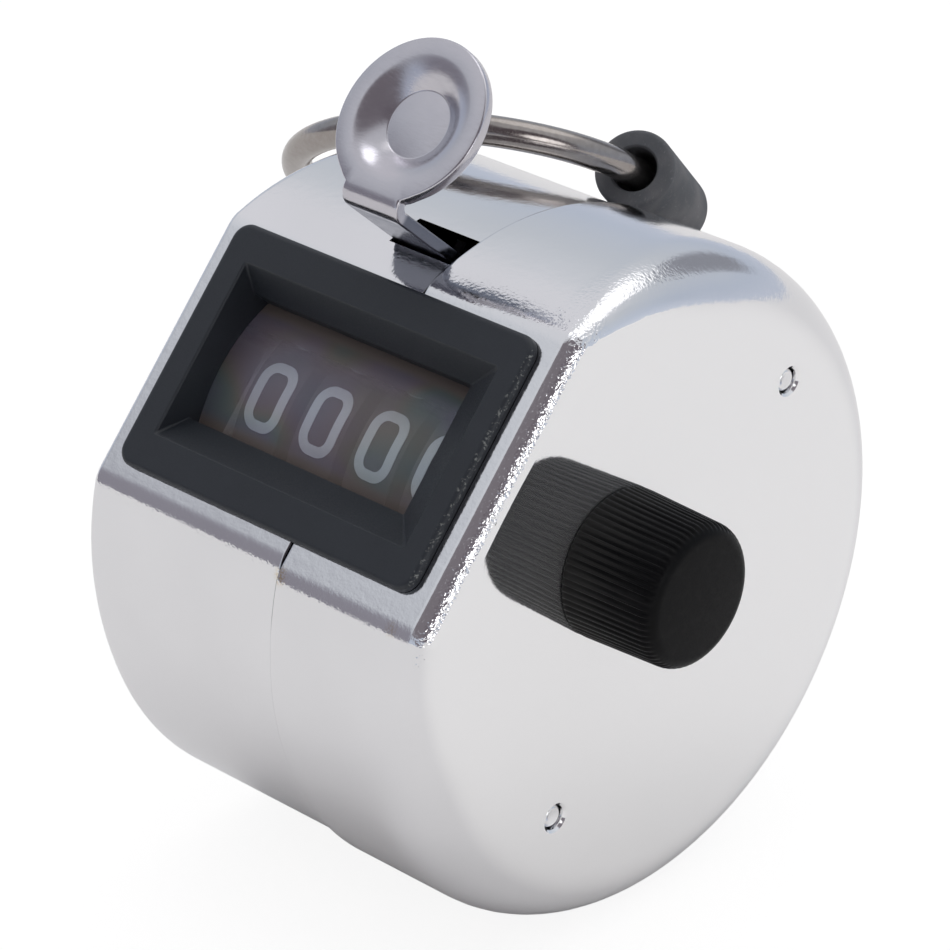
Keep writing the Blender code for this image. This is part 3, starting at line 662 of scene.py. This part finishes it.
def lens_film():
    """Clear bent sheet with a milky film and faint rainbow stains, in shade along its top."""
    shader = Shader("lens")
    shader.tree.nodes.remove(shader.surface)
    up = shader.axis(1)
    half = (OPENING_Y[1] - OPENING_Y[0]) / 2
    edge = shader.math("ABSOLUTE", shader.math("SUBTRACT", up, sum(OPENING_Y) / 2))
    band = shader.between(edge, half - 1.0, half - 0.35)
    shaded = shader.between(up, *LENS_SHADE)
    stains = shader.ramp(shader.noise(0.16, 1.5, roughness=0.4), RAINBOW)
    film = shader.add("ShaderNodeBsdfDiffuse")
    shader.put(film.inputs["Color"], shader.mix(band, stains, (0.56, 0.47, 0.42)))
    clear = shader.add("ShaderNodeBsdfTransparent")
    shader.put(clear.inputs["Color"], shader.mix(shaded, (0.97, 0.97, 0.98), (0.30, 0.30, 0.34)))
    shine = shader.add("ShaderNodeBsdfGlossy")
    shader.put(shine.inputs["Roughness"], 0.30)
    fresnel = shader.add("ShaderNodeFresnel")
    shader.put(fresnel.inputs["IOR"], 1.45)
    inside = shader.add("ShaderNodeNewGeometry").outputs["Backfacing"]
    gloss = shader.times(fresnel.outputs[0], shader.math("SUBTRACT", 1.0, inside))
    share = shader.math("ADD", 0.17, shader.times(shaded, 0.12))
    return shader.show(shader.blended(gloss, shader.blended(share, clear, film), shine))


def inner_metal(name, dark, light, roughness):
    """Plain metal of the pieces inside, on CAD nodes whose coordinates are metres."""
    shader = Shader(name)
    shader.place = shader.stretched((1 / MM, 1 / MM, 1 / MM))
    brushed = shader.noise(1.5, 4.0, shader.stretched((0.4, 6.0, 6.0)))
    spots = shader.noise(0.8, 3.0)
    colour = shader.mix(spots, dark, light)
    rough = shader.between(brushed, 0.3, 0.7, roughness - 0.08, roughness + 0.1)
    normal = shader.bump(brushed, 0.01, 0.5)
    return shader.finish(colour, rough, normal, Metallic=1.0)


# Case


def case_outline(radius, plane):
    """The round case cut by the window's flat, as (centre, radius, angle) points of its arcs."""
    fold_z = plane - FOLD_RADIUS
    fold_y = math.sqrt((radius - FOLD_RADIUS) ** 2 - fold_z**2)
    turn = math.degrees(math.atan2(fold_z, fold_y))
    points = [((0.0, 0.0), radius, angle) for angle in spread(turn, -180 - turn, 240)]
    points += [((-fold_y, fold_z), FOLD_RADIUS, a) for a in spread(180 - turn, 90, 12)[1:]]
    points += [((y, fold_z), FOLD_RADIUS, 90.0) for y in spread(-fold_y, fold_y, 22)[1:-1]]
    points += [((fold_y, fold_z), FOLD_RADIUS, a) for a in spread(90, turn, 12)[:-1]]
    return points


def edge_size(angle, edge):
    """Rounding of the closed face's edge where the outline faces this angle."""
    away = abs((angle + 90) % 360 - 180)
    return edge[0] + (edge[1] - edge[0]) * smooth_step(*EDGE_GROWTH, away)


def case_ring(x, outline, depth=100.0, edge=(0.1, 0.1), inset=0.0):
    """The outline at x, drawn in by an inset and by the rounding at a depth below the face."""
    made = []
    for centre, radius, angle in outline:
        size = edge_size(angle, edge)
        short = max(0.0, size - depth)
        radius -= inset + size - math.sqrt(size**2 - short**2)
        turn = math.radians(angle)
        made.append((x, centre[0] + radius * math.cos(turn), centre[1] + radius * math.sin(turn)))
    return made


def fillet_depths(edge, steps):
    sizes = (edge[0], (edge[0] + edge[1]) / 2, edge[1])
    return sorted({round(size * (1 - math.cos(a)), 4) for size in sizes for a in quarter(steps)})


class Cup:
    """One shell: a round cup with a flat for the window and a rounded closed face."""

    def __init__(self, node, side, edge):
        low, high = span(node)
        self.side = side
        self.edge = edge
        self.radius = reach(node)
        self.closed = high.x if side > 0 else low.x
        self.open = low.x if side > 0 else SEAM_X
        self.outline = case_outline(self.radius, WINDOW_PLANE)

    def outer(self):
        """Rings from the closed face round its edge and along to the seam."""
        rings = [case_ring(self.closed, self.outline, 0.0, self.edge, 0.06)]
        for depth in fillet_depths(self.edge, 12):
            rings.append(case_ring(self.closed - self.side * depth, self.outline, depth, self.edge))
        start = self.closed - self.side * (self.edge[1] + 0.2)
        for along in spread(start, self.open + self.side * 2 * RIM_EDGE, 8):
            rings.append(case_ring(along, self.outline))
        for shift, inset in ((RIM_EDGE, 0.0), (0.3 * RIM_EDGE, 0.3 * RIM_EDGE), (0.0, RIM_EDGE)):
            rings.append(case_ring(self.open + self.side * shift, self.outline, inset=inset))
        return rings

    def inner(self):
        """Rings of the inside, from the open end to the closed face."""
        edge = tuple(max(0.1, size - WALL) for size in self.edge)
        face = self.closed - self.side * WALL
        rings = []
        for depth in reversed(fillet_depths(edge, 4)):
            rings.append(case_ring(face - self.side * depth, self.outline, depth, edge, WALL))
        return rings


def true_normals(made, rings):
    """Gives a cut shell's outer faces the normals of its uncut surface, so they reflect cleanly."""
    whole = loft(rings)
    tree = BVHTree.FromPolygons(
        [vertex.co for vertex in whole.vertices], [face.vertices for face in whole.polygons]
    )
    mesh = made.data
    upright = LEAN.inverted()
    exact = []
    for vertex in mesh.vertices:
        spot, _, index, distance = tree.find_nearest(upright @ vertex.co)
        normal = None
        if distance < 0.003:
            near_by = [whole.vertices[v] for v in whole.polygons[index].vertices]
            shares = poly_3d_calc([v.co for v in near_by], spot)
            summed = sum((v.normal * share for v, share in zip(near_by, shares)), Vector())
            normal = (LEAN.to_3x3() @ summed).normalized()
        exact.append(normal)
    normals = [Vector((0.0, 0.0, 0.0))] * len(mesh.loops)
    for face in mesh.polygons:
        if all(exact[v] and exact[v].dot(face.normal) > 0.85 for v in face.vertices):
            for loop in face.loop_indices:
                normals[loop] = exact[mesh.loops[loop].vertex_index]
    mesh.normals_split_custom_set(normals)
    bpy.data.meshes.remove(whole)


def flared_hole(centre, radius, x, depth=3.0, flare=0.16):
    """Cutter for a hole through the right face with a rolled edge."""
    sizes = [(x + 0.5, radius + flare), (x + 0.002, radius + flare)]
    for angle in quarter(4)[1:]:
        sizes.append((x - flare * math.sin(angle), radius + flare * (1 - math.sin(angle))))
    sizes[-1] = (x - flare, radius)
    sizes.append((x - depth, radius))
    return loft([circle_at(along, size, centre, 40) for along, size in sizes])


def window_hole():
    grow = PLUG_INSET - 0.1
    return block(
        (BEZEL_LOW.x + grow, BEZEL_HIGH.x - grow),
        (BEZEL_LOW.y + grow, BEZEL_HIGH.y - grow),
        (WINDOW_PLANE - 3 * WALL, WINDOW_PLANE + 2.0),
    )


def lever_slot():
    half = LEVER_WIDTH / 2 + 0.25
    return block(
        (LEVER_X - half, SEAM_X + LIP_LENGTH + 1.0),
        (PAD_LOW.y - 0.2, PAD_LOW.y + SHEET + 1.25),
        (12.0, WINDOW_PLANE + 3.0),
    )


def shells(material):
    right = Cup("right_shell", 1, RIGHT_EDGE)
    outer = right.outer()
    mesh = loft(outer + [case_ring(right.open, right.outline, inset=WALL)] + right.inner())
    face = right.closed
    holes = [window_hole(), rod((face - 3.0, face + 1.0), SHAFT, 2.1)]
    for post in ("frame_post_upper", "frame_post_lower"):
        holes.append(flared_hole(middle(post).yz, POST_HOLE, face))
    mesh = combined(mesh, holes, "DIFFERENCE")
    made = piece("right_case", mesh, material, "case", ["right_shell"])
    true_normals(made, outer)

    left = Cup("left_shell", -1, LEFT_EDGE)
    clear = WALL + LIP_CLEARANCE
    lip = case_outline(right.radius - clear, WINDOW_PLANE - clear)
    end = SEAM_X + LIP_LENGTH
    outer = left.outer()
    rings = outer + [
        case_ring(SEAM_X, lip),
        case_ring(end, lip),
        case_ring(end, lip, inset=WALL),
        case_ring(-2 * WALL, lip, inset=WALL),
        case_ring(-2 * WALL, left.outline, inset=WALL),
    ]
    mesh = loft(rings + left.inner())
    mesh = combined(mesh, [window_hole(), lever_slot()], "DIFFERENCE")
    made = piece("left_case", mesh, material, "case", ["left_shell"])
    true_normals(made, outer)


def rivets(material):
    """The frame posts, their domed ends set into the holes of the right face."""
    for name in ("frame_post_upper", "frame_post_lower"):
        low, high = span(name)
        centre = middle(name).yz
        end = high.x
        (left, left_length), (right, right_length) = POST_LEFT, POST_RIGHT
        sizes = [
            (low.x, left),
            (low.x + left_length, left),
            (low.x + left_length, POST_BODY),
            (end - right_length, POST_BODY),
            (end - right_length, right),
            (end - POST_DOME, right),
        ]
        sizes += [(end - POST_DOME * (1 - s), right - 0.2 * s * s) for s in (0.4, 0.8, 1.0)]
        sizes += [(end - 0.05, 0.4), (end - 0.12, 0.2)]
        mesh = loft([circle_at(x, size, centre, 40) for x, size in sizes])
        piece(f"{name}_turned", mesh, material, "case", [name])


# Window


def bezel(material):
    low, high = BEZEL_LOW, BEZEL_HIGH
    x, y = (low.x, high.x), (low.y, high.y)
    base = WINDOW_PLANE + 0.05
    top = high.z
    edge = [(0.0, base), (0.0, top - BEZEL_EDGE)]
    for angle in quarter(5)[1:]:
        edge.append((BEZEL_EDGE * (1 - math.cos(angle)), top - BEZEL_EDGE * (1 - math.sin(angle))))
    edge.append((BEZEL_EDGE + 0.05, top))
    rings = [rounded_rectangle(x, y, BEZEL_CORNER - inset, z, inset) for inset, z in edge]
    for inset, drop in ((-0.12, 0.0), (-0.06, 0.0), (-0.015, 0.03), (0.06, 0.12)):
        rings.append(rounded_rectangle(RECESS_X, RECESS_Y, 0.25, top - drop, inset))
    for level in (OPENING_Z, low.z):
        rings.append(rounded_rectangle(OPENING_X, OPENING_Y, 0.1, level))
    for level in (low.z, base):
        rings.append(rounded_rectangle(x, y, 0.3, level, PLUG_INSET))
    around = reach("window_lens", SHAFT) + LENS_RISE + 0.06
    cut = rod((x[0] - 2, x[1] + 2), SHAFT, around, 256)
    mesh = combined(loft(rings, closed=True), [cut], "DIFFERENCE")
    piece("window_bezel", mesh, material, "case", ["bezel"], sharp=25)


def lens(material):
    high = span("window_lens")[1]
    outer = reach("window_lens", SHAFT) + LENS_RISE
    start, end = LENS_ARC
    outline = arc(SHAFT, outer, start, end, 64) + arc(SHAFT, outer - LENS_THICKNESS, end, start, 64)
    mesh = slab(outline, (OPENING_X[0] - 0.2, high.x))
    piece("clear_lens", mesh, material, "case", ["window_lens"])


# Number wheels


def tooth_radius(angle):
    """Ten sawteeth, each rising slowly and dropping at once."""
    way = (math.degrees(angle) % (360 / RATCHET_TEETH)) / RATCHET_RISE
    return RATCHET_ROOT + (RATCHET_DEPTH * way if way < 1.0 else 0.0)


def number_wheel(name, material, paint):
    body = f"{name}_wheel"
    low, high = span(body)
    left, right = low.x, low.x + WHEEL_WIDTH
    radius = reach(body, SHAFT)
    sizes = [
        (left, RIM_INSIDE),
        (left, radius - 0.15),
        (left + 0.05, radius - 0.04),
        (left + 0.15, radius),
        (right - 0.15, radius),
        (right - 0.05, radius - 0.04),
        (right, radius - 0.15),
        (right, tooth_radius),
        (high.x, tooth_radius),
        (high.x, BORE_RADIUS),
        (left + WEB, BORE_RADIUS),
        (left + WEB, RIM_INSIDE),
    ]
    mesh = loft([circle_at(x, size, SHAFT, 160) for x, size in sizes], closed=True)
    piece(f"{name}_drum", mesh, material, body, [body])
    mesh = number_band((left + right) / 2, radius)
    piece(f"{name}_numbers", mesh, paint, body)


def number_strokes(number):
    """Strokes of a number as (points, closed), in a box from -1 to 1 each way."""
    corner = (0.74, 0.5)  # radii of the nought's corners
    if number == 0:
        ring = []
        for x, y, turn in ((1, 1, 0), (-1, 1, 90), (-1, -1, 180), (1, -1, 270)):
            centre = (x * (1 - corner[0]), y * (1 - corner[1]))
            ring += bow(centre, corner, turn, turn + 90, 10)
        return [(ring, True)]
    if number == 1:
        return [([(-0.5, 0.62), (0.05, 1.0), (0.05, -1.0)], False)]
    if number == 2:
        return [(bow((0.0, 0.42), (0.95, 0.58), 165, -30) + [(-1.0, -1.0), (1.0, -1.0)], False)]
    if number == 3:
        top = bow((0.0, 0.5), (0.85, 0.5), 150, -90)
        return [(top + bow((0.0, -0.5), (1.0, 0.5), 90, -150)[1:], False)]
    if number == 4:
        return [([(0.4, -1.0), (0.4, 1.0), (-1.0, -0.45), (1.0, -0.45)], False)]
    if number == 5:
        hook = bow((0.0, -0.36), (1.0, 0.64), 140, -150)
        return [([(0.85, 1.0), (-0.72, 1.0), (-0.77, 0.06)] + hook[1:], False)]
    if number == 6:
        tail = bow((0.0, 0.45), (1.0, 0.55), 30, 180) + [(-1.0, -0.38)]
        return [(bow((0.0, -0.38), (1.0, 0.62), 0, 342), True), (tail, False)]
    if number == 7:
        return [([(-1.0, 1.0), (1.0, 1.0), (-0.3, -1.0)], False)]
    if number == 8:
        top = bow((0.0, 0.5), (0.82, 0.48), 0, 342)
        return [(top, True), (bow((0.0, -0.48), (1.0, 0.52), 0, 342), True)]
    turned = [[(-px, -py) for px, py in line] for line, _ in number_strokes(6)]
    return [(turned[0], True), (turned[1], False)]


def refined(points, closed, step=0.18):
    """The line with points added, so that it can follow the drum."""
    ends = points[1:] + points[:1] if closed else points[1:]
    made = []
    for (ax, ay), (bx, by) in zip(points, ends):
        parts = max(1, math.ceil(math.hypot(bx - ax, by - ay) / step))
        made += [(ax + (bx - ax) * i / parts, ay + (by - ay) * i / parts) for i in range(parts)]
    return made if closed else made + [points[-1]]


def stroke_sides(points, closed):
    """Left and right edges of a stroke of constant width, with mitred corners."""
    count = len(points)
    sides = []
    for i, point in enumerate(points):
        before = points[(i - 1) % count] if closed or i else point
        after = points[(i + 1) % count] if closed or i < count - 1 else point
        here = Vector(point)
        into = (here - Vector(before)) if before != point else (Vector(after) - here)
        out = (Vector(after) - here) if after != point else into
        into.normalize()
        out.normalize()
        along = (into + out).normalized()
        across = Vector((-along.y, along.x))
        reach_out = STROKE / 2 / max(0.6, across.dot(Vector((-into.y, into.x))))
        sides.append((here + across * reach_out, here - across * reach_out))
    return sides


def painted_stroke(bm, place, turn, line, closed, lift):
    """One stroke on the drum at (x, radius), as a strip of paint four corners round."""
    x, radius = place
    half = (NUMBER_WIDTH / 2, NUMBER_HEIGHT / 2)
    points = refined([(px * half[0], py * half[1]) for px, py in line], closed)
    rows = []
    for left, right in stroke_sides(points, closed):
        row = []
        for side, level in ((left, PAINT), (right, PAINT), (right, -0.1), (left, -0.1)):
            size = radius + level + lift
            angle = turn + side.y / radius
            y, z = SHAFT[0] + size * math.sin(angle), SHAFT[1] + size * math.cos(angle)
            row.append(bm.verts.new((x + side.x, y, z)))
        rows.append(row)
    join_rows(bm, rows, closed)


def number_band(x, radius):
    """The ten numbers round a drum. The next number up is below."""
    bm = bmesh.new()
    for number in range(10):
        turn = math.radians(NUMBER_DROP - 36.0 * number)
        for order, (line, closed) in enumerate(number_strokes(number)):
            painted_stroke(bm, (x, radius), turn, line, closed, 0.004 * order)
    return finished(bm)


# Knob


def knob(material):
    high = span("reset_knob")[1]
    base = reach("reset_knob", SHAFT)
    tip = base - 0.25
    count = KNOB_RIBS * 10
    start, end = CASE_END + KNOB_GAP, high.x - 0.12
    shoulder = end - KNOB_EDGE

    def ribbed(x, inset, depth):
        size = base + (tip - base) * (x - start) / (end - start) - inset

        def radius(angle):
            wave = math.cos(KNOB_RIBS * angle)
            uneven = 0.8 + 0.2 * math.sin(5 * angle + 1.0) * math.sin(13 * angle)
            return size - depth * uneven * (0.5 - 0.5 * math.tanh(2.2 * wave) / 0.98)

        return circle_at(x, radius, SHAFT, count)

    rings = [ribbed(start, 0.1, 0.0), ribbed(start + 0.08, 0.02, 0.5 * KNOB_RIB_DEPTH)]
    rings += [ribbed(along, 0.0, KNOB_RIB_DEPTH) for along in spread(start + 0.3, shoulder, 9)]
    for i, angle in enumerate(quarter(10)[1:], 1):
        fade = KNOB_RIB_DEPTH * (1 - smooth_step(0.15, 0.6, i / 10))
        along = shoulder + KNOB_EDGE * math.sin(angle)
        rings.append(ribbed(along, KNOB_EDGE * (1 - math.cos(angle)), fade))
    for share in (0.85, 0.6, 0.35, 0.12):
        dome = (high.x - end) * (1 - share**2)
        rings.append(circle_at(end + dome, share * (tip - KNOB_EDGE), SHAFT, count))
    piece("ribbed_knob", loft(rings), material, "reset_knob", ["reset_knob"])


# Thumb lever


def dish_level(distance):
    """Depth of the pad's dish at a distance from its centre."""
    if distance > DISH_TOP:
        return 0.0
    if distance > DISH_BOTTOM:
        return -DISH_DEPTH * ((DISH_TOP - distance) / (DISH_TOP - DISH_BOTTOM)) ** 1.6
    return 0.12 * (1 - (distance / DISH_BOTTOM) ** 2) - DISH_DEPTH


def pad_reach(angle, radius, drop):
    """The pad's outline at an angle from straight down, where it runs out into the neck."""
    neck = math.atan2(LEVER_WIDTH / 2, drop)
    if abs(angle) <= neck + 1e-6:
        return drop / math.cos(angle)
    corner = math.hypot(drop, LEVER_WIDTH / 2)
    return corner + (radius - corner) * smooth_step(neck, neck + 0.22, abs(angle))


def pad_point(bm, angle, distance, centre_y):
    x = LEVER_X + distance * math.sin(angle)
    y = centre_y - distance * math.cos(angle)
    return bm.verts.new((x, y, PAD_HIGH.z + dish_level(distance)))


def pad_surface(bm, across):
    """The dished pad, as rings about its centre. Returns its points along the neck's end."""
    radius = (PAD_HIGH.x - PAD_LOW.x) / 2
    centre_y = PAD_HIGH.y - radius
    drop = centre_y - PAD_LOW.y - BEND_RADIUS
    angles = [math.atan2(x, drop) for x in across]
    step = (2 * math.pi - 2 * angles[-1]) / PAD_STEPS
    angles += [angles[-1] + step * i for i in range(1, PAD_STEPS)]
    distances = [DISH_BOTTOM * i / 10 for i in range(1, 10)]
    distances += [DISH_BOTTOM - 0.06, DISH_BOTTOM, DISH_BOTTOM + 0.06]
    distances += [DISH_BOTTOM + (DISH_TOP - DISH_BOTTOM) * i / 14 for i in range(1, 15)]
    hub = bm.verts.new((LEVER_X, centre_y, PAD_HIGH.z + dish_level(0.0)))
    rows = [[pad_point(bm, a, d, centre_y) for a in angles] for d in distances]
    ends = [pad_reach(math.remainder(a, 2 * math.pi), radius, drop) for a in angles]
    rows.append([pad_point(bm, a, d, centre_y) for a, d in zip(angles, ends)])
    for i in range(len(angles)):
        after = (i + 1) % len(angles)
        bm.faces.new((hub, rows[0][i], rows[0][after]))
        for one, other in zip(rows, rows[1:]):
            bm.faces.new((one[i], other[i], other[after], one[after]))
    return rows[-1][: len(across)]


def lever_sheet():
    """The top surface of pad, neck, bend and stem, before it is thickened."""
    bm = bmesh.new()
    across = spread(-LEVER_WIDTH / 2, LEVER_WIDTH / 2, 13)
    line = pad_surface(bm, across)
    bend = (PAD_LOW.y + BEND_RADIUS, PAD_HIGH.z - BEND_RADIUS)
    places = arc(bend, BEND_RADIUS, 90, 180, 9)[1:]
    foot = span("thumb_lever", above=STEM_FOOT)[0].z
    places += [(PAD_LOW.y, z) for z in spread(bend[1], foot, 9)[1:]]
    for y, z in places:
        below = [bm.verts.new((LEVER_X + x, y, z)) for x in across]
        for i in range(len(across) - 1):
            bm.faces.new((line[i], line[i + 1], below[i + 1], below[i]))
        line = below
    return bm


def thumb_lever(material):
    bm = lever_sheet()
    bmesh.ops.recalc_face_normals(bm, faces=bm.faces)
    if sum(face.normal.z for face in bm.faces) < 0:
        bmesh.ops.reverse_faces(bm, faces=bm.faces)
    base = placed("helper", stored(bm))
    solidify = base.modifiers.new("thickness", "SOLIDIFY")
    solidify.thickness = SHEET
    solidify.offset = -1.0
    solidify.use_even_offset = True
    bevel = base.modifiers.new("edges", "BEVEL")
    bevel.width = 0.2
    bevel.segments = 3
    bevel.limit_method = "ANGLE"
    bevel.angle_limit = math.radians(55)
    made = evaluated(base)
    bpy.data.objects.remove(base, do_unlink=True)
    piece("lever_pad", made, material, "thumb_lever", ["thumb_lever"], sharp=50)
    piece("lever_yoke", lever_yoke(), material, "thumb_lever")


def lever_yoke():
    """The crossbar inside the case and the two arms that swing on the pivot pin."""
    low, high = span("thumb_lever")
    pivot = joint_place("lever_press")[0].yz
    pawl = joint_place("pawl_yield")[0].yz
    front = PAD_LOW.y
    outline = [(front + SHEET, 12.0), (10.8, 12.0), (10.8, 8.6), (6.4, 3.2), (-7.4, 3.2)]
    outline += arc(pivot, 1.9, 50, 230, 13)
    outline += [(-8.6, 0.0), (7.6, 0.0), (13.9, 6.6), (13.9, 9.3), (front + SHEET, 9.7)]
    sides = ((low.x, low.x + SHEET), (high.x - SHEET, high.x))
    bar = block((low.x, high.x), (front, front + SHEET), (9.7, 12.0))
    joined = combined(bar, [slab(outline, side) for side in sides], "UNION")
    holes = [rod((-20.0, 20.0), pivot, 1.12, 32), rod((-20.0, 20.0), pawl, 0.72, 24)]
    return combined(joined, holes, "DIFFERENCE")


# Finger ring


def sleeve(material):
    centre, axis = joint_place("ring_swing")
    side = axis.cross(Vector((0.0, centre.y, centre.z)).normalized()).normalized()
    up = side.cross(axis)
    points = [point - centre for point in corners("ring_sleeve")]
    half = max(point.dot(axis) for point in points)
    far = max((point - axis * point.dot(axis)).length for point in points)
    soft = 0.28
    sizes = [(half - 0.9, SLEEVE_BORE), (half - 0.12, SLEEVE_BORE), (half, SLEEVE_BORE + 0.12)]
    sizes += [(half, far - soft - 0.1)]
    for angle in quarter(5):
        sizes.append((half - soft * (1 - math.cos(angle)), far - soft * (1 - math.sin(angle))))
    sizes = sizes + [(-along, size) for along, size in reversed(sizes)]
    rings = [circle_about(centre + axis * along, up, side, size, 72) for along, size in sizes]
    mesh = loft(rings, closed=True)
    piece("rubber_sleeve", mesh, material, "case", ["ring_sleeve"])


def finger_ring(material):
    """Round wire, straight where it runs through the sleeve."""
    centre, axis = joint_place("ring_swing")
    points = corners("finger_ring")
    away = sum((point - centre for point in points), Vector()) / len(points)
    away = (away - axis * away.dot(axis)).normalized()
    size = max((point - centre).dot(away) for point in points) - RING_WIRE
    radius = (size**2 + RING_CHORD**2) / (2 * size)
    offset = size - radius
    count = 240
    line = []
    for i in range(count):
        angle = 2 * math.pi * (i + 0.5) / count
        out = max(0.0, offset - radius * math.cos(angle))
        line.append(centre + axis * (radius * math.sin(angle)) + away * out)
    for _ in range(6):
        line = [(line[i - 1] + line[i] * 2 + line[(i + 1) % count]) / 4 for i in range(count)]
    normal = axis.cross(away)
    rings = []
    for i in range(count):
        along = (line[(i + 1) % count] - line[i - 1]).normalized()
        rings.append(circle_about(line[i], along.cross(normal), normal, RING_WIRE, 36))
    mesh = loft(rings, closed=True)
    piece("wire_ring", mesh, material, "finger_ring", ["finger_ring"])


# Pieces that keep their CAD shape


def finish_inner_nodes():
    metals = {
        "steel": inner_metal("steel", (0.36, 0.36, 0.37), (0.50, 0.50, 0.51), 0.36),
        "spring_steel": inner_metal("spring_steel", (0.26, 0.26, 0.28), (0.40, 0.40, 0.42), 0.30),
        "brass": inner_metal("brass", (0.55, 0.38, 0.14), (0.70, 0.52, 0.24), 0.30),
    }
    slots = {row["node"]: row["material_slot"] for row in frame["record"]["subparts"]}
    for name, node in frame["nodes"].items():
        if node.hide_render:
            continue
        node.data.materials.clear()
        node.data.materials.append(metals[slots[name]])


# Stage


def floor():
    """A wide pale floor that the round case rests on. Its shadow shows only faintly."""
    shader = Shader("pale_floor")
    cloud = shader.noise(6.0, 2.0)
    colour = shader.mix(cloud, (0.93, 0.915, 0.885), (0.95, 0.935, 0.905))
    material = shader.finish(colour, 0.9, Specular_IOR_Level=0.0)
    glow = shader.add("ShaderNodeEmission")
    seen = shader.add("ShaderNodeLightPath").outputs["Is Camera Ray"]
    shader.put(glow.inputs["Strength"], FLOOR_GLOW)
    shader.show(shader.blended(shader.times(seen, 0.8), shader.surface, glow))
    level = min(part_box("right_shell")[0].z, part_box("left_shell")[0].z)
    bm = bmesh.new()
    bmesh.ops.create_grid(bm, x_segments=2, y_segments=2, size=4.0)
    made = placed("floor", stored(bm))
    made.data.materials.append(material)
    made.location = (HALF_WIDTH, 0.0, level - 0.00002)


def direction(azimuth, elevation):
    """A unit vector. Azimuth 0 points to the front and 90 to the right."""
    a, e = math.radians(azimuth), math.radians(elevation)
    return (math.cos(e) * math.sin(a), -math.cos(e) * math.cos(a), math.sin(e))


def studio():
    """Soft surroundings for the plating to reflect: pale grey, with light and dark patches."""
    world = bpy.data.worlds.new("studio")
    bpy.context.scene.world = world
    world.use_nodes = True
    sky = Nodes(world.node_tree, "Generated")
    colour = sky.ramp(sky.axis(2), SKY)
    for azimuth, elevation, inner, outer, patch in PATCHES:
        toward = sky.vector("DOT_PRODUCT", sky.place, direction(azimuth, elevation))
        limits = [math.cos(math.radians(angle)) for angle in (outer, inner)]
        colour = sky.mix(sky.between(toward, *limits), colour, patch)
    sky.put(world.node_tree.nodes["Background"].inputs["Color"], colour)
    sun = bpy.data.lights.new("overhead", "SUN")
    sun.angle = math.radians(70)
    sun.energy = OVERHEAD
    add_light(sun, Vector((0.1, -0.1, 1.0)))
    spot = bpy.data.lights.new("window_spot", "SPOT")
    spot.energy = FRONT
    spot.spot_size = math.radians(4.6)
    spot.spot_blend = 0.4
    spot.shadow_soft_size = 0.05
    add_light(spot, WINDOW @ Vector(FRONT_PLACE))


def add_light(data, place):
    """A light aimed at the window, which the plating does not mirror."""
    made = placed(data.name, data)
    made.location = place
    aim = WINDOW @ Vector((0.0, 0.6, WINDOW_PLANE))
    made.rotation_euler = (place - aim).to_track_quat("Z", "Y").to_euler()
    made.visible_glossy = False


def camera():
    """The picture's viewpoint: to the right of the window and above it."""
    data = bpy.data.cameras.new("camera")
    data.sensor_width = 36.0
    data.lens = FOCAL_LENGTH
    made = placed("camera", data)
    made.location = (HALF_WIDTH + CAMERA_PLACE[0], *CAMERA_PLACE[1:])
    azimuth, elevation = CAMERA_TURN
    made.rotation_euler = (math.radians(90 - elevation), 0.0, math.radians(azimuth))
    bpy.context.scene.camera = made


def build():
    plating = chrome()
    satin = nickel()
    shells(plating)
    rivets(plating)
    bezel(bezel_plastic())
    lens(lens_film())
    plastic = wheel_plastic()
    paint = number_paint()
    for name in WHEEL_NAMES:
        number_wheel(name, plastic, paint)
    knob(knob_plastic())
    thumb_lever(satin)
    sleeve(rubber())
    finger_ring(ring_nickel())
    finish_inner_nodes()
    floor()
    studio()
    camera()
    bpy.context.scene.view_settings.view_transform = "Standard"


build()
